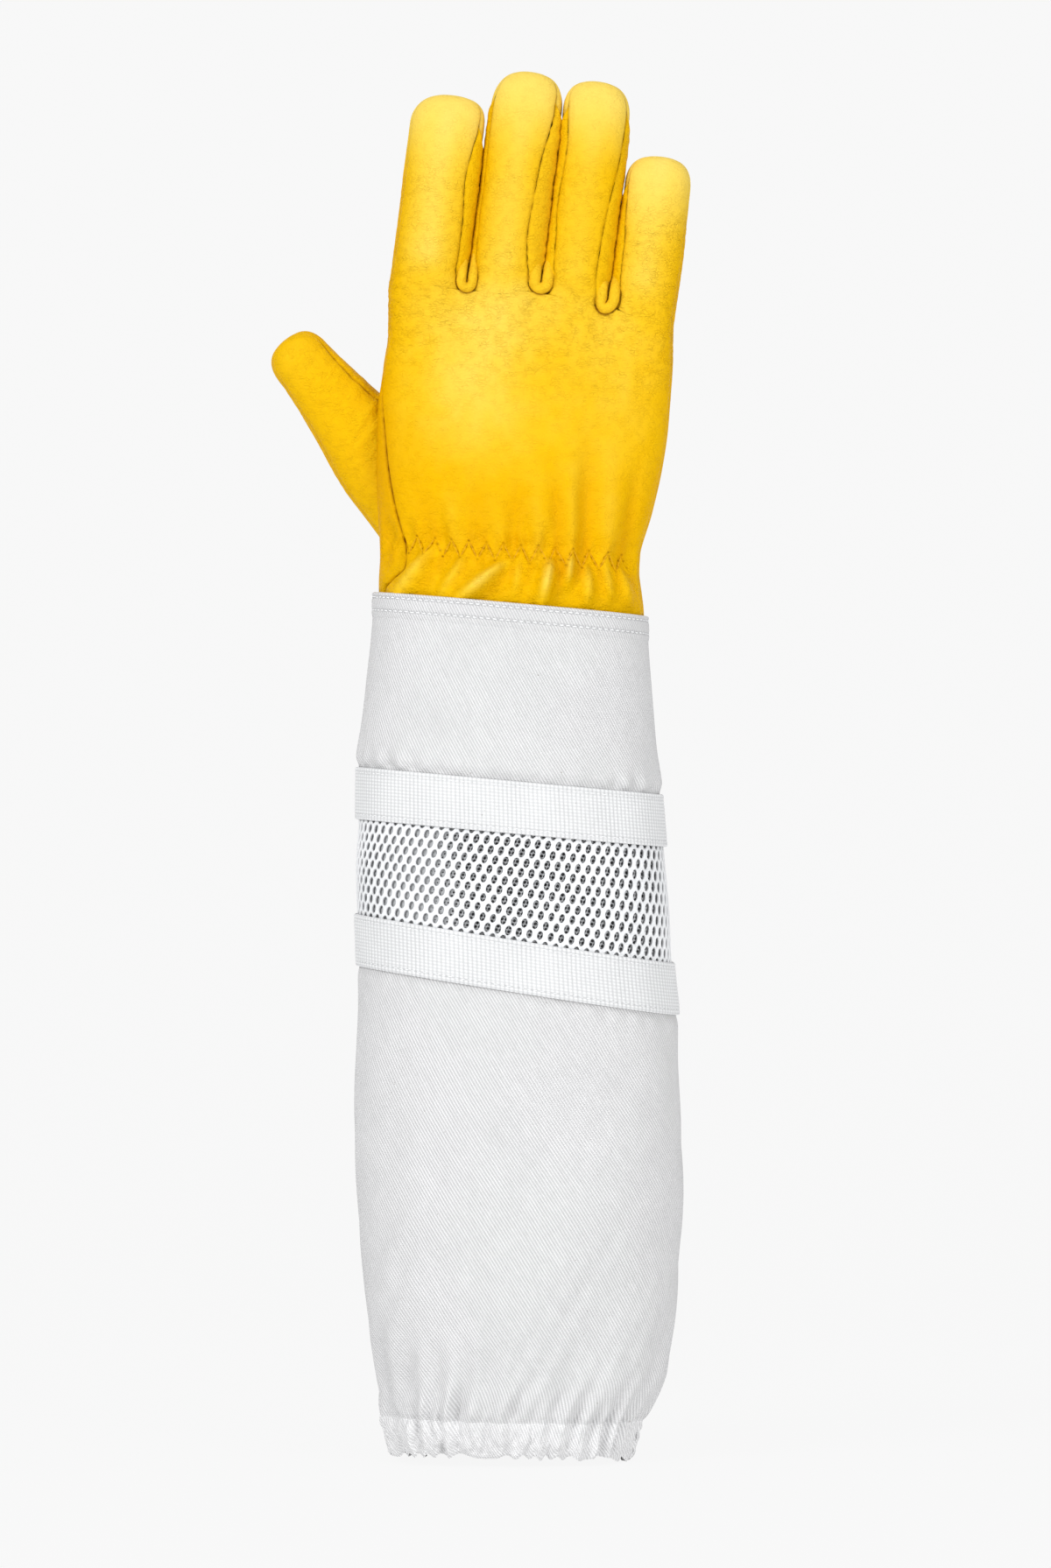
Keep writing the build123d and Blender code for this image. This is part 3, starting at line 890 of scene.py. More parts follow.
def fold_tones(base):
    """Painted highlight on the crests of the wrist's folds, and painted shade in their valleys."""
    x, z = base[..., 0], base[..., 2]
    drop = zigzag_line(x) - z
    crest, valley = 0 * x, 0 * x
    for t, beside, width, size in pleat_lines(x, z):
        tone = abs(size) * bell(beside, 0.8 * width) * smooth(0, 0.7, t) * smooth(1.3, 0.95, t)
        if size > 0:
            crest = crest + 0.2 * tone
        else:
            valley = valley + 0.26 * tone
    for t, beside, width, size in fold_lines(x, drop):
        along = size * smooth(-0.1, 0.5, t) * smooth(1.5, 0.7, t)
        crest = crest + 0.34 * bell(beside, 0.55 * width) * along
        valley = valley + 0.2 * bell(beside - 1.3 * width, 0.5 * width) * along
    # painted shade in the valleys of the puckers beside the zigzag
    phase = np.cos(2 * np.pi * x / ZIGZAG_PITCH)
    valley = valley + 0.2 * np.clip(-phase, 0, 1) * bell(drop + 1.5, 4)
    valley = valley + 0.2 * np.clip(phase, 0, 1) * bell(drop - 8.5, 3)
    back = only_back(base[..., 1])
    return crest * back, valley * back


# painted highlights on the back of the hand: place, width, height, strength
HIGHLIGHT_SPOTS = (
    (-20, -26, 22, 30, 0.50), (-4, -2, 38, 18, 0.40), (34, -30, 16, 34, 0.34),
    (-10, -46, 26, 20, 0.2),
)


def hand_tones(base, facing):
    """How much painted highlight, painted shade and wrinkle the hand's skin has at each point."""
    u, w = on_knuckles(base)
    crest, valley = fold_tones(base)
    pale = crest
    for u0, w0, wide, tall, strength in HIGHLIGHT_SPOTS:
        pale = pale + strength * bell(u - u0, wide) * bell(w - w0, tall)
    front = smooth(0.3, 0.95, np.abs(facing[..., 1]))
    streak = 0.05 * noise(u / 14, 2.0, w / 30, 61) + 0.05 * noise(u / 4, 3.0, w / 5, 62)
    # painted highlight where the hand faces the front
    wash = np.clip(front * (pale + streak), 0, 1)
    # painted shade where the hand turns sideways, beside the thumb, low on the back and in the
    # folds' valleys
    shade = 0.14 * edge_on(facing)
    shade = shade + 0.5 * bell(base[..., 0] + 49, 7) * bell(base[..., 2] - 365, 40)
    shade = shade + 0.12 * bell(w + 78, 17) * smooth(0.2, 0.9, -facing[..., 1]) + valley
    wrinkle = np.clip(bell(w + 6, 26) + 0.5 * smooth(-75, -100, w) + 0.12, 0, 1)
    return wash, shade, wrinkle


def dress(obj, slot, *nodes):
    """Hide the CAD nodes that a piece replaces; slot is not used."""
    if nodes:
        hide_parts(*nodes)
    return obj


def bend_wrist(obj):
    """Bake a piece sewn together at the wrist into its place."""
    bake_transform(obj)


def bend_digit(obj, bodies, root, up, low, high):
    """Bake a piece of a digit into its place; bodies, root, up, low and high are not used."""
    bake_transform(obj)


def build_hand():
    # closer rows at the wrist, and one beyond the knuckles that is only for normals
    rows = np.concatenate((np.linspace(0, 0.36, 130), np.linspace(0.36, 1, 200)[1:]))
    rows = np.append(rows, 2 * rows[-1] - rows[-2])
    lx, lz, rx, rz, _, _, power = (column(rows) for column in HAND_COLUMNS)
    half = np.hypot(rx - lx, rz - lz) / 2
    left = phi_of(LEFT_SEAM(lz), half, power)
    right = phi_of(0.35 + 0 * lz, half, power)
    left_groove = 0.25 + 0.75 * smooth(398, 385, lz)
    right_groove = 0.25 + 0 * lz
    pieces = {
        "back": (right, np.pi - left, (right_groove, left_groove)),
        "palm": (np.pi - left, 2 * np.pi + right, (left_groove, right_groove)),
    }
    for panel, (low, high, grooves) in pieces.items():
        grid, seam, base, facing, _ = leather_panel(
            hand_point, lambda phi, share, base: skin_relief(base) + wrist_relief(base),
            low, high, rows, PANEL_COLUMNS, grooves, hand_extra,
        )
        obj = skin(f"hand_{panel}_skin", grid, seam, (0, 1), *hand_tones(base, facing))
        bend_wrist(obj)
        dress(obj, "leather", f"hand_{panel}", f"wrist_{panel}")
        if panel == "palm":
            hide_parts("thumb_keystone")


# ---- fingers ----------
class Strip(NamedTuple):
    """A strip between a finger's panels, on the side towards another finger."""

    width: Callable  # of the part seen beyond the back panel, along the finger
    pucker: float
    swell: float  # how far it bulges towards its neighbour
    seam: float  # how deep and dark the seams beside it are


STRIPS = {
    ("index", 1): Strip(
        curve((4, 4.4), (14, 3.4), (25, 3.4), (40, 4.3), (52, 3.0), (62, 0.9)), 0.5, 0.8, 0.55
    ),
    ("middle", -1): Strip(curve((4, 4.2), (12, 1.6), (30, 0.8), (74, 0.8)), 0.4, 0.65, 0.3),
    ("middle", 1): Strip(
        curve((7, 4.6), (14, 5.6), (24, 6.6), (36, 6.0), (50, 5.0), (62, 3.0), (74, 1.3)),
        1.0, 0.95, 0.6,
    ),
    ("ring", -1): Strip(
        curve((7, 4.6), (13, 3.0), (25, 2.4), (35, 1.6), (58, 2.5), (72, 1.6)), 0.5, 0.65, 0.45
    ),
    ("ring", 1): Strip(
        curve((3, 4.6), (12, 5.2), (25, 4.8), (40, 3.4), (52, 1.9), (72, 0.7)), 0.6, 0.7, 0.5
    ),
    ("little", -1): Strip(
        curve((3, 4.4), (10, 2.8), (25, 2.6), (34, 1.6), (49, 0.7)), 0.4, 0.6, 0.45
    ),
}
PLAIN_SEAM = 0.25  # how deep and dark a seam without a strip is
STRIP_END = 9.0  # how far below the fingertip the strips have closed
# how strong the painted highlight down the back of each finger is
FINGER_HIGHLIGHT = {"index": 0.62, "middle": 0.46, "ring": 0.3, "little": 0.52}
GUSSET_BESIDE = {
    (finger, side): name
    for name in CROTCHES
    for finger, side in zip(name.split("_"), (1, -1))
}
DIGIT_STEP = 0.62  # between the rows of a digit's pieces
BEND_REACH = 8.0  # how far each side of a finger's bend its leather turns
KNUCKLE_BEND = (3.6, 16.0)  # where the leather bends at the knuckles, above their plane


def digit_section(length, shoulder, w):
    """How much a digit's section has shrunk at a height, towards its rounded tip."""
    t = np.clip((w - shoulder) / (length - shoulder), 0, 1)
    return (1 - t**DOME_ROUND) ** (1 / DOME_ROUND)


def digit_rows(length, shoulder, start, stop):
    """Heights of the rows of a part of a digit, and how many at each end are only for normals.

    They lie closer together round the tip, and the first row lies under the part before.
    """
    top = min(stop, shoulder)
    start = start - 2 * DIGIT_STEP
    rows = np.linspace(start, top, max(4, int((top - start) / DIGIT_STEP)))
    if stop > shoulder:
        t = np.linspace(0, np.pi / 2 - 0.012, 44)[1:]
        tip = shoulder + (length - shoulder) * np.sin(t) ** (2 / DOME_ROUND)
        return np.concatenate((rows, tip)), (1, 0)
    return np.append(rows, stop + DIGIT_STEP), (1, 1)


def finger_surface(name):
    finger = FINGERS[name]

    def at(phi, w):
        c, s = section_of(phi, FINGER_ROUND)
        start = KNUCKLE_LINE(finger["centre"](w) + finger["half"](0.0) * c)
        w = w + start * smooth(14, 0, w)
        scale = digit_section(finger["length"], finger["shoulder"], w)
        point = knuckle_point(finger["centre"](w) + finger["half"](w) * scale * c, w)
        curl = 0.7 * (w / finger["length"]) ** 2
        point[..., 1] = curl - finger_depth(name, w) * scale**0.9 * s
        return point

    return at


def finger_relief(name, pucker):
    """A finger's wrinkles, and on a strip its puckers, which start from the hand's own."""
    finger = FINGERS[name]
    seed = 70 + 7 * list(FINGERS).index(name)

    def relief(phi, w, base):
        u, high = on_knuckles(base)
        side = np.where(np.sin(phi) > 0, 0.0, 6.5)
        out = 0.22 * noise(u / 9, side, w / 14, seed)
        folds = bell(w - 6, 16) + 0.9 * bell(w - finger["bend"], 8) + 0.15
        bent = u / 8 + 0.4 * noise(u / 4, side, w / 6, seed + 1)
        wave = noise(bent, side, w / 1.8, seed + 2)
        out = out + 0.11 * (1 - 2 * np.abs(wave)) * folds
        if pucker:
            wide = noise(base[..., 1] / 7, 0.3, w / 1.9, seed + 3)
            out = out + pucker * (0.5 * wide + 0.3 * noise(u / 5, 0.3, w / 6, seed + 4))
        out = out * smooth(finger["length"], finger["shoulder"] + 4, w)
        root = smooth(10, 1, high)
        return skin_relief(base) * root + out * (1 - root)

    return relief


def seam_angles(name, w):
    """Angles of a finger's seams: back and palm seam on the right, then on the left."""
    finger = FINGERS[name]
    inside = np.minimum(w, finger["shoulder"])
    half = finger["half"](inside)
    angles = []
    for side in (1, -1):
        plain = phi_of(0.45 + 0 * w, half, FINGER_ROUND)
        if (name, side) not in STRIPS:  # back and palm panel meet
            angles += [plain, plain]
            continue
        place, centre, radius, stretch, lean = CROTCHES[GUSSET_BESIDE[name, side]]
        wide, tall = gusset_outline(radius, stretch)
        real = w + KNUCKLE_LINE(place) * smooth(14, 0, w)
        drop = np.clip((centre - real) / tall, 0, 1)
        gap = side * (finger["centre"](0.0) - place - lean * drop) + finger["half"](0.0)
        mouth = np.maximum(wide * np.sqrt(1 - drop**2) + gap, 0.02)
        up = smooth(centre, centre + 7, real)
        seen = mouth * (1 - up) + STRIPS[name, side].width(inside) * up
        back = phi_of(seen, half, FINGER_ROUND)
        end = finger["length"] - STRIP_END
        closed = smooth(end - 4, end + 9, w)
        back = back * (1 - closed) + plain * closed
        open_ = smooth(end, end - 16, w)
        palm = back - (back + phi_of(2.4 + 0 * w, half, FINGER_ROUND)) * open_
        angles += [back, palm]
    return angles


def seam_depth(name, side):
    return STRIPS[name, side].seam if (name, side) in STRIPS else PLAIN_SEAM


def finger_tones(name, base, facing, height):
    """Painted highlight, painted shade and wrinkle of a finger's skin, starting from the hand's.
    """
    finger = FINGERS[name]
    length = finger["length"]
    front = smooth(0.25, 0.95, np.abs(facing[..., 1]))
    tip = smooth(length - 38, length - 2, height)
    u = on_knuckles(base)[0] - finger["centre"](height)
    ridge = 0.3 + 0.7 * bell(u + 1.5, 8)
    # painted highlight down the finger's back and over its tip
    wash = front * FINGER_HIGHLIGHT[name] * ridge * (1 - tip) + 0.86 * tip
    wash = wash + 0.07 * noise(u / 6, 0.5, height / 12, 91)
    # painted shade where the finger turns sideways
    shade = 0.12 * edge_on(facing) * (1 - tip)
    wrinkle = bell(height - 6, 20) + 0.7 * bell(height - finger["bend"], 9) + 0.1
    wrinkle = wrinkle * smooth(length - 4, length - 20, height)
    root = smooth(14, 0, height)
    return [
        np.clip(own * (1 - root) + hand * root, 0, 1)
        for own, hand in zip((wash, shade, wrinkle), hand_tones(base, facing))
    ]


def build_finger(name):
    finger = FINGERS[name]
    length, shoulder = finger["length"], finger["shoulder"]
    surface = finger_surface(name)
    split = finger["bend"] - BEND_REACH
    outer_left, outer_right = seam_depth(name, -1), seam_depth(name, 1)
    for part, (start, stop) in {"base": (0.0, split), "tip": (split, length)}.items():
        rows, trim = digit_rows(length, shoulder, start, stop)
        right_back, right_palm, left_back, left_palm = seam_angles(name, rows)
        panels = {
            "back": (right_back, np.pi - left_back, (outer_right, outer_left)),
            "palm": (np.pi - left_palm, 2 * np.pi + right_palm, (outer_left, outer_right)),
        }
        made = []
        for panel, (low, high, grooves) in panels.items():
            grid, seam, base, facing, height = leather_panel(
                surface, finger_relief(name, 0.0), low, high, rows, DIGIT_COLUMNS, grooves
            )
            tones = finger_tones(name, base, facing, height)
            obj = skin(f"{name}_{part}_{panel}_skin", grid, seam, trim, *tones, LAP)
            made.append(dress(obj, "leather", f"{name}_{part}_{panel}"))
        keep = rows <= length - STRIP_END - 0.2
        for side, back, palm in ((1, right_back, right_palm), (-1, left_back, left_palm)):
            if (name, side) not in STRIPS:
                continue
            strip = STRIPS[name, side]
            low, high = (palm, back) if side > 0 else (np.pi - back, np.pi - palm)
            grid, seam, base, facing, height = leather_panel(
                surface, finger_relief(name, strip.pucker), low[keep], high[keep],
                rows[keep], STRIP_COLUMNS, (0.35, 0.35),
            )
            left, right = edge_distance(base)
            wide = left + right
            swell = np.sin(np.pi * np.clip(left / np.maximum(wide, 0.01), 0, 1))
            swell = np.clip(swell, 0, 1) ** 0.8 * smooth(0, 2, wide)
            grid = grid + facing * (strip.swell * swell)[..., None]
            flat = 0 * height
            # a painted highlight on the strip, stronger where it puckers more, and no painted
            # shade
            obj = skin(
                f"{name}_{part}_strip_{'right' if side > 0 else 'left'}", grid, seam, trim,
                0.2 * strip.pucker + flat, flat, 0.6 + flat, LAP,
            )
            made.append(dress(obj, "leather", f"{name}_{part}_side_strip"))
        if part == "base":
            bodies, bend = ("hand", f"{name}_base"), KNUCKLE_BEND
        else:
            bodies, bend = (f"{name}_base", f"{name}_tip"), (split + 0.2, split + 2 * BEND_REACH)
        root = KNUCKLE + finger["centre"](0.0) * KNUCKLE_U
        for obj in made:
            bend_digit(obj, bodies, root, KNUCKLE_W, *bend)


def build_gusset(name):
    """A U-shaped roll of leather that closes the gap between two fingers, on both faces.

    It is split down its middle into two halves, one for each finger.
    """
    place, centre, radius, stretch, lean = CROTCHES[name]
    leg = 12.0
    bottom = np.linspace(0, 1, 42)  # the path runs down a leg, round the bottom and up a leg
    path = np.concatenate((np.linspace(-1, 0, 26)[:-1], bottom, np.linspace(1, 2, 26)[1:]))
    turn = np.clip(path, 0, 1) * np.pi
    rise = np.where(path < 0, -path, np.where(path > 1, path - 1, 0)) * leg
    u = place - radius * np.cos(turn) + lean * np.sin(turn)
    w = centre + rise - stretch * radius * np.sin(turn)
    thick = radius * 0.98 * (1 - 0.25 * smooth(0, leg, rise))
    sink = (6.6 - 4.6 * smooth(1.0, leg * 0.9, rise))[:, None]
    around = np.linspace(0, 2 * np.pi, 36, endpoint=False)
    c, s = np.cos(around), np.sin(around)
    u = u[:, None] - (np.cos(turn) * thick)[:, None] * c
    w = w[:, None] - (np.sin(turn) * thick)[:, None] * c
    half = len(path) // 2
    halves = (slice(0, half + 1), slice(half, None))
    root = KNUCKLE + place * KNUCKLE_U
    for face, facing in ((-1, "back"), (1, "palm")):
        wrinkle = 0.3 * noise(u / 2.4, face, w / 2.0, 95) + 0.14 * noise(u, face, w, 96)
        grid = knuckle_point(u, w)
        grid[..., 1] = face * (sink + (2.8 + wrinkle) * s)
        # painted shade along the pinch down the gusset's middle and at its rolled rim
        middle = place + 0.5 * lean + 0.35 * noise(w / 2.1, 0.5, face, 97)
        offset = np.hypot(u - middle, np.minimum(w - centre, 0))
        pinch = 0.8 * bell(offset, 0.34) * smooth(-1.2, 0.3, w - centre)
        rim = bell(np.abs(c) - 1, 0.28) * (c > 0)
        seam = np.clip(pinch + 0.8 * rim * (s < 0.55), 0, 1)
        if face > 0:
            grid, seam = grid[:, ::-1], seam[:, ::-1]
        for finger, rows in zip(name.split("_"), halves):
            part = grid[rows]
            index = np.arange(part[..., 0].size).reshape(part.shape[:2])
            index = np.concatenate((index, index[:, :1]), axis=1)
            flat = np.zeros(part.shape[:2])
            # a painted highlight of the same strength all over the gusset
            obj = add_mesh(
                f"gusset_{name}_{facing}_{finger}", part.reshape(-1, 3), as_rows(*quads_of(index)),
                leather, seam=seam[rows], wash=flat + 0.30, shade=flat, wrinkle=flat + 0.6,
            )
            bend_digit(obj, ("hand", f"{finger}_base"), root, KNUCKLE_W, *KNUCKLE_BEND)
            dress(obj, "leather", f"crotch_gusset_{name}")


# ---- thumb ----------
def thumb_surface(phi, w):
    scale = digit_section(THUMB_LENGTH, THUMB_SHOULDER, w)
    c, s = section_of(phi, THUMB_ROUND)
    u = THUMB_HALF(w) * scale * c
    point = THUMB + u[..., None] * THUMB_U + w[..., None] * THUMB_W
    point[..., 1] = THUMB_MIDDLE(w) - THUMB_DEPTH(w) * scale**0.9 * s
    return point


# slanted folds on the back of the thumb: place, height, slope, width, height of the fold
THUMB_FOLDS = ((9, 18, 0.25, 1.8, 0.55), (9, 12, 0.1, 1.6, 0.45), (8, 26, 0.4, 2.0, 0.35))


def thumb_relief(phi, w, base):
    u = (base - THUMB) @ THUMB_U
    side = np.where(np.sin(phi) > 0, 0.0, 5.5)
    out = 0.3 * noise(u / 9, side, w / 13, 111)
    wave = noise((u + 0.5 * w) / 9, side, (w - 0.35 * u) / 2.3, 112)
    out = out + 0.10 * (1 - 2 * np.abs(wave)) * (0.4 + bell(w - 38, 12) + bell(w - 8, 12))
    for u0, w0, slope, width, size in THUMB_FOLDS:
        line = w - w0 - slope * (u - u0)
        out = out + size * bell(line, width) * bell(u - u0, 8) * (np.sin(phi) > 0)
    return out * smooth(THUMB_LENGTH, THUMB_SHOULDER + 3, w)


def build_thumb():
    offset = curve((-20, 0.5), (0, 1.2), (14, 2.3), (30, 2.2), (42, 1.4), (50, 0.5))
    parts = {
        "base": (THUMB_START, THUMB_SPLIT, ("hand", "thumb_base"), THUMB_BENDS[0]),
        "tip": (THUMB_SPLIT, THUMB_LENGTH, ("thumb_base", "thumb_tip"), THUMB_BENDS[1]),
    }
    for part, (start, stop, bodies, bend) in parts.items():
        rows, trim = digit_rows(THUMB_LENGTH, THUMB_SHOULDER, start, stop)
        half = THUMB_HALF(np.minimum(rows, THUMB_SHOULDER))
        right = phi_of(offset(rows), half, THUMB_ROUND)
        left = phi_of(0.5 + 0 * rows, half, THUMB_ROUND)
        panels = {
            "back": (right, np.pi - left, (0.8, 0.3)),
            "palm": (np.pi - left, 2 * np.pi + right, (0.3, 0.8)),
        }
        for panel, (low, high, grooves) in panels.items():
            grid, seam, _, facing, height = leather_panel(
                thumb_surface, thumb_relief, low, high, rows, DIGIT_COLUMNS, grooves
            )
            tip = smooth(30, 56, height)
            # painted highlight where the thumb faces the front, stronger towards its tip, and
            # painted shade where it turns sideways
            wash = 0.04 + smooth(0.3, 1, -facing[..., 1]) * (0.04 + 0.08 * tip)
            tones = wash, 0.1 * edge_on(facing), 0.35 + 0 * height
            obj = skin(f"thumb_{part}_{panel}_skin", grid, seam, trim, *tones, LAP)
            bend_digit(obj, bodies, THUMB, THUMB_W, *bend)
            dress(obj, "leather", f"thumb_{part}_{panel}")


# ---- stitches ----------
def stitches(name, starts, ends, facing, radius, material):
    """Short rounded threads, each from a start to an end, lying on a surface."""
    rings, sides = 5, 6
    along = np.linspace(-1, 1, rings + 2)
    size = np.sqrt(np.clip(1 - along**4, 0.04, 1))
    angle = np.arange(sides) * 2 * np.pi / sides
    axis = unit(ends - starts)
    side = unit(np.cross(axis, facing))
    up = np.cross(side, axis)
    middle, half = (starts + ends) / 2, np.linalg.norm(ends - starts, axis=1) / 2
    sag = (1 - along**2)[None, :, None] * 0.5 * radius
    verts = (
        middle[:, None, None]
        + (axis * half[:, None])[:, None, None] * along[None, :, None, None]
        + radius * size[None, :, None, None]
        * (
            side[:, None, None] * np.cos(angle)[None, None, :, None]
            + up[:, None, None] * np.sin(angle)[None, None, :, None] * 0.8
        )
        + up[:, None, None] * sag[..., None]
    ).reshape(-1, 3)
    per = (rings + 2) * sides
    local = np.arange(per).reshape(rings + 2, sides)
    local = np.concatenate((local, local[:, :1]), 1)
    a, b, c, d = quads_of(local)
    quad = as_rows(a, d, c, b)
    ends_of = {0: ((0, 5, 4, 3), (0, 3, 2, 1)), rings + 1: ((0, 1, 2, 3), (0, 3, 4, 5))}
    caps = [local[row, order] for row, orders in ends_of.items() for order in map(list, orders)]
    quad = np.concatenate((quad, np.array(caps)))
    faces = (quad[None] + (np.arange(len(starts)) * per)[:, None, None]).reshape(-1, 4)
    return add_mesh(name, verts, faces, material)


def stitch_ring(name, heights, lift, pitch, share, radius, shape):
    """Rows of running stitch round the gauntlet, each stitch a share of the pitch long."""
    starts, ends, facing = [], [], []
    count = int(AROUND / pitch)
    for k, height in enumerate(heights):
        place = (np.arange(count) + 0.37 * k) / count
        jitter = np.random.default_rng(200 + k).uniform(-0.12, 0.12, (2, count))
        turn = np.stack((place, place + share / count))
        level = height + jitter
        base = sleeve_point(turn, level)
        normal = facing_at(sleeve_point, turn, level, base, 1e-3, 0.5)
        point = base + normal * (lift + shape(turn, level))[..., None]
        starts.append(point[0])
        ends.append(point[1])
        facing.append(normal[0])
    return stitches(
        name, *(np.concatenate(k) for k in (starts, ends, facing)), radius, thread_white
    )


# ---- gauntlet pieces ----------
TAPE_RIB, TAPE_PICK = 1.6, 1.2  # how far apart a tape's ribs and its cross threads lie
TAPE_ROW = 1.9  # how far inside a tape's edge its thread lies


def weave(turn, height):
    """The tape's ribs and picks, from 0 in the gaps to 1."""
    rib = np.abs(np.sin(np.pi * turn * AROUND / TAPE_RIB))
    pick = 0.5 + 0.5 * np.cos(2 * np.pi * (height - 0.02 * rib) / TAPE_PICK)
    return rib**0.7 * (0.35 + 0.65 * pick)


def ride_gauntlet(obj, slot, *nodes):
    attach(obj, "gauntlet")
    return dress(obj, slot, *nodes)


def build_tape(side, low, high):
    def folds(turn, height):
        return 0.5 * cloth_folds(turn, (low + high) / 2)

    def shape(turn, height):
        near = np.minimum(height - low, high - height)
        sunk = 0.5 * rounded_edge(near, 0.9) + 0.15 * bell(near - TAPE_ROW, 0.35)
        return folds(turn, height) + 0.34 * weave(turn, height) - sunk

    def dark(turn, height):
        # painted shade in the gaps between the tape's ribs and picks, and along its thread's rows
        near = np.minimum(height - low, high - height)
        gaps = 0.46 * (1 - weave(turn, height))
        return np.clip(gaps + 0.12 * bell(near - TAPE_ROW, 0.35), 0, 1)

    obj = ring(
        f"{side}_webbing_tape", low, high, lift=1.25, thickness=0.9, material=tape,
        rows=64, columns=1320, shape=shape, dark=dark,
    )
    ride_gauntlet(obj, "webbing", f"{side}_webbing")
    rows = stitch_ring(
        f"{side}_webbing_thread", (low + TAPE_ROW, high - TAPE_ROW),
        lift=1.3, pitch=2.3, share=0.62, radius=0.16, shape=folds,
    )
    ride_gauntlet(rows, "thread", f"{side}_webbing_stitching")


# corners of a net's cell, as shares of its width and height, with two straight up and down
CELL_X = np.array((0.5, 0.25, 0.0, -0.25, -0.5, -0.5, -0.5, -0.25, 0.0, 0.25, 0.5, 0.5))
CELL_Y = np.array((1, 1.5, 2, 1.5, 1, 0, -1, -1.5, -2, -1.5, -1, 0)) / 3


def build_net(name, low, high, pitch, hole, lift, thickness, material, skew, shut=0.0):
    """A knitted net: one ring of thread round each hole, in staggered rows.

    skew slants the columns, and shut is how much smaller the holes on the back's right are.
    """
    columns = int(round(AROUND / pitch[0]))
    levels = 2 * int(round((high - low) / pitch[1] / 2))
    width, tall = 1.0 / columns, (high - low) / levels
    sides = len(CELL_X)
    angle = (np.arange(sides) + 0.5) * 2 * np.pi / sides
    cell, row = np.meshgrid(np.arange(columns), np.arange(levels))
    cx = (cell + 0.5 * (row % 2) + skew * row) * width
    cy = low + (row + 0.5) * tall
    wobble = 0.03 * width * noise(cell * 0.7, row * 0.9, 0.5, 301)
    size = 1 - shut * smooth(0.29, 0.38, cx % 1) + 0.08 * noise(cell * 0.4, row * 0.4, 2.5, 302)
    rings = []
    # from the cell's edge over the thread and down round the hole, and back inside
    profile = ((None, -0.1), (1.3, 0.12), (1.0, -0.1), (1.0, -thickness), (None, -thickness))
    for grow, out in profile:
        if grow is None:
            x = cx[..., None] + (CELL_X + skew * CELL_Y) * width
            y = cy[..., None] + CELL_Y * tall
        else:
            lean = 0.12 * hole[1] * np.sin(angle)
            x = np.cos(angle) * hole[0] / 2 * grow - lean
            x = cx[..., None] + wobble[..., None] + size[..., None] * x / AROUND
            y = cy[..., None] + size[..., None] * np.sin(angle) * hole[1] / 2 * grow
        base = sleeve_point(x, y)
        rings.append(base + facing_at(sleeve_point, x, y, base, 1e-4, 0.05) * (lift + out))
    verts = np.stack(rings, 2).reshape(-1, 3)
    count, total = len(rings), columns * levels
    local = np.arange(count * sides).reshape(count, sides)
    ahead = np.roll(local, -1, 1)
    quad = np.stack((local[:-1], ahead[:-1], ahead[1:], local[1:]), -1).reshape(-1, 4)
    faces = (quad[None] + (np.arange(total) * count * sides)[:, None, None]).reshape(-1, 4)
    # painted shade down each hole's wall, darkest deepest in
    dark = np.tile(np.repeat((0.0, 0.0, 0.3, 0.5, 0.5), sides), total)
    obj = add_mesh(name, verts, faces, material, along=verts[:, 0], up=verts[:, 2], seam=dark)
    work = bmesh.new()
    work.from_mesh(obj.data)
    bmesh.ops.remove_doubles(work, verts=work.verts, dist=0.00002)
    work.to_mesh(obj.data)
    work.free()
    return obj


def build_gauntlet():
    lower_join, upper_join = sum(LOWER_TAPE) / 2, sum(UPPER_TAPE) / 2
    cuff_rows = (CUFF_TOP - 1.8, CUFF_TOP - 6.6)

    def cuff_top(turn, height):
        rows = sum(bell(height - row, 0.7) for row in cuff_rows)
        step = 0.55 * smooth(CUFF_HEM - 0.4, CUFF_HEM + 2.4, height)
        return cloth_folds(turn, height) + step - 0.35 * rows

    def cuff_dark(turn, height):
        # painted shade along the rows of stitching
        return 0.3 * sum(bell(height - row, 0.5) for row in cuff_rows)

    def cloth(name, low, high, rows, *nodes, lift=0.0, thickness=CANVAS, material=canvas,
              shape=cloth_folds, **looks):
        obj = ring(
            name, low, high, lift, thickness, material, rows, SLEEVE_COLUMNS, shape, **looks
        )
        return ride_gauntlet(obj, "canvas", *nodes)

    hem = cloth(
        "hem_casing_cloth", 0.0, HEM_TOP, 44, "hem_casing", "hem_elastic",
        thickness=1.5, material=hem_canvas_brightened,
    )
    sleeve = cloth("sleeve_cloth", HEM_TOP, lower_join, 240, "sleeve_canvas", "sleeve_side_seam")
    cuff = cloth("cuff_cloth", upper_join, CUFF_HEM, 120, "cuff_canvas", "cuff_side_seam")
    top = cloth(
        "cuff_hem_cloth", CUFF_HEM - 0.4, CUFF_TOP, 44, "cuff_top_hem",
        lift=0.05, thickness=1.7, shape=cuff_top, edges=0.8, dark=cuff_dark,
    )
    rows = stitch_ring(
        "cuff_hem_thread", cuff_rows, lift=0.1, pitch=2.7, share=0.66, radius=0.24, shape=cuff_top
    )
    ride_gauntlet(rows, "thread", "cuff_top_stitching")
    row = stitch_ring(
        "hem_thread", (HEM_TOP - 0.6,), lift=0.08, pitch=2.9, share=0.62, radius=0.11,
        shape=cloth_folds,
    )
    ride_gauntlet(row, "thread", "hem_stitching")
    build_tape("lower", *LOWER_TAPE)
    build_tape("upper", *UPPER_TAPE)
    outer = build_net(
        "net_outer_cloth", lower_join, upper_join, pitch=(3.75, 3.7), hole=(2.1, 3.3),
        lift=0.0, thickness=0.8, material=net, skew=-0.08,
    )
    ride_gauntlet(outer, "mesh", "mesh_outer")
    inner = build_net(
        "net_inner_cloth", lower_join, upper_join, pitch=(1.5, 1.45), hole=(1.16, 1.12),
        lift=-1.3, thickness=0.15, material=net_fine, skew=0.0, shut=0.9,
    )
    ride_gauntlet(inner, "mesh", "mesh_inner")


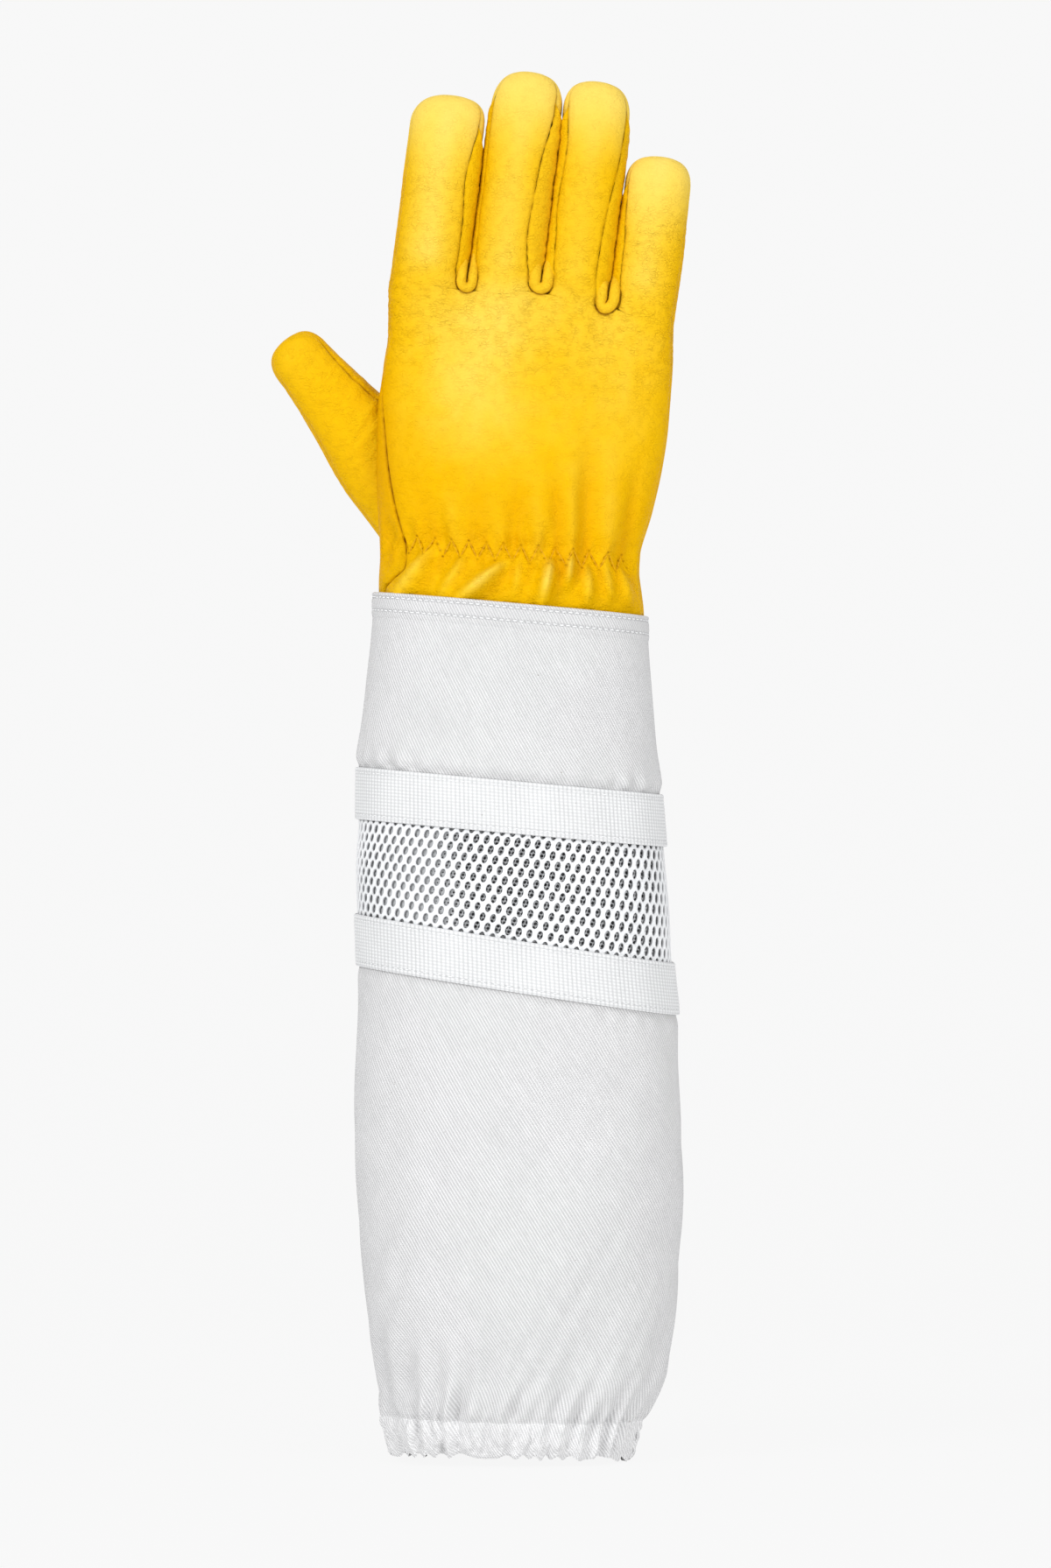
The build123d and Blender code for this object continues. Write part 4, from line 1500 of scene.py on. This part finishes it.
def build_wrist_elastic():
    """The elastic inside the wrist and the zigzag thread that holds it.

    The wrist's line is sought from a share of the hand's height, one part of the gap at a
    time, because a share isn't a height in millimetres.
    """
    start, part_z, part_x = 0.30, 150.0, 60.0
    turn = np.linspace(0.12, 0.88, 260) * np.pi
    phi, low = np.meshgrid(turn, np.linspace(ZIGZAG_HEIGHT + 0.6, -0.8, 16))
    share = np.full_like(phi, start)
    for _ in range(12):
        point = hand_point(phi, share)
        share = share + (zigzag_line(point[..., 0]) - low - point[..., 2]) / part_z
    base = hand_point(phi, share)
    inside = wrist_relief(base) - LEATHER - 0.35
    grid = base + normals_of(base, False) * inside[..., None]
    obj = shell(
        "wrist_elastic_band", grid, 0.9, elastic, along=base[..., 0], up=base[..., 2], seam=0 * phi
    )
    bend_wrist(obj)
    dress(obj, "elastic", "wrist_elastic")

    corners = np.arange(-31, 31)  # odd ones are on the upper line, even ones below it
    xs, tops = corners * ZIGZAG_PITCH / 2, (corners % 2 == 0) * ZIGZAG_HEIGHT
    keep = (xs > -41) & (xs < 43)
    xs, tops = xs[keep], tops[keep]
    z = zigzag_line(xs) - tops
    phi = np.full_like(xs, np.pi / 2)
    share = np.full_like(xs, start)
    for _ in range(40):
        point = hand_point(phi, share)
        phi = phi + (point[..., 0] - xs) / part_x
        share = share + (z - point[..., 2]) / part_z
    facing = facing_at(hand_point, phi, share, point, 1e-3, 1e-3)
    point = point + facing * (wrist_relief(point) - 0.05)[..., None]
    gap = (point[1:] - point[:-1]) * 0.08
    obj = stitches(
        "wrist_elastic_thread", point[:-1] + gap, point[1:] - gap, facing[:-1], 0.12, thread_yellow
    )
    bend_wrist(obj)
    dress(obj, "thread", "wrist_elastic_stitching")


# ---- stage ----------
PAPER = srgb(248, 248, 248)
# each light, in metres and watts: place, what it points at, size, power
LIGHTS = {
    "key": ((-1.35, -1.55, 1.25), (0.0, 0.0, 0.26), 0.8, 26.0),
    "fill": ((1.5, -1.8, 0.3), (0.0, 0.0, 0.22), 1.6, 20.0),
    "low_left": ((-0.5, -0.7, 0.04), (0.0, 0.0, 0.03), 0.3, 1.1),
    "low_right": ((0.5, -0.7, 0.06), (0.02, 0.0, 0.05), 0.3, 2.0),
    "top": ((0.1, -0.5, 1.7), (0.0, 0.0, 0.3), 1.0, 6.0),
}
CAMERA_PLACE = (0.0048, -2.6, 0.2468)
CAMERA_LENS, CAMERA_SENSOR = 162.8, 36.0  # the sensor's height


def build_backdrop():
    """A pale floor that curves up into a wall, and is clear where it is seen from behind."""
    floor, bend, wall, top, reach = -1.0, 900.0, 1600.0, 2600.0, 2200.0
    round_ = wall - bend
    angles = np.linspace(0, np.pi / 2, 16)
    profile = [(-1500.0, floor), (-600.0, floor)]
    profile += [(bend + round_ * np.sin(a), floor + round_ * (1 - np.cos(a))) for a in angles]
    profile.append((wall, top))
    verts = [(x, y, z) for y, z in profile for x in (-reach, reach)]
    faces = [(2 * k, 2 * k + 1, 2 * k + 3, 2 * k + 2) for k in range(len(profile) - 1)]
    n = Nodes("backdrop", srgb(244, 244, 244), 0.9)
    glow = n.add("ShaderNodeEmission", {"Color": PAPER}).outputs[0]
    paper = n.add("ShaderNodeMixShader", {0: 0.03, 1: glow, 2: n.shader.outputs[0]}).outputs[0]
    behind = n.add("ShaderNodeNewGeometry").outputs["Backfacing"]
    clear = n.add("ShaderNodeBsdfTransparent").outputs[0]
    paper = n.add("ShaderNodeMixShader", {0: behind, 1: paper, 2: clear}).outputs[0]
    n.feed(paper, n.tree.nodes["Material Output"].inputs["Surface"])
    add_mesh("backdrop", verts, faces, n.material)


def build_world():
    """An even sky, which lights at half the strength at which it is seen."""
    world = bpy.data.worlds.new("studio")
    world.use_nodes = True
    nodes, links = world.node_tree.nodes, world.node_tree.links
    background = nodes["Background"]
    background.inputs["Color"].default_value = PAPER
    strength = nodes.new("ShaderNodeMapRange")
    strength.inputs["To Min"].default_value = 0.5
    strength.inputs["To Max"].default_value = 1.0
    path = nodes.new("ShaderNodeLightPath")
    links.new(path.outputs["Is Camera Ray"], strength.inputs["Value"])
    links.new(strength.outputs["Result"], background.inputs["Strength"])
    bpy.context.scene.world = world


def place_object(name, data, location, turn):
    obj = bpy.data.objects.new(name, data)
    obj.location = location
    obj.rotation_euler = turn
    bpy.context.scene.collection.objects.link(obj)
    return obj


def build_studio():
    """The backdrop, soft lights and the camera."""
    build_backdrop()
    build_world()
    for name, (place, target, size, power) in LIGHTS.items():
        light = bpy.data.lights.new(name, "AREA")
        light.size = size
        light.energy = power
        aim = (Vector(target) - Vector(place)).to_track_quat("-Z", "Y")
        place_object(name, light, place, aim.to_euler())
    camera = bpy.data.cameras.new("camera")
    camera.sensor_fit = "VERTICAL"
    camera.sensor_height = CAMERA_SENSOR
    camera.lens = CAMERA_LENS
    camera.clip_end = 20.0
    scene = bpy.context.scene
    scene.camera = place_object("camera", camera, CAMERA_PLACE, (np.pi / 2, 0, 0))
    scene.view_settings.view_transform = "Standard"


build_gauntlet()
build_hand()
for finger_name in FINGERS:
    build_finger(finger_name)
for crotch_name in CROTCHES:
    build_gusset(crotch_name)
build_thumb()
build_wrist_elastic()
build_studio()
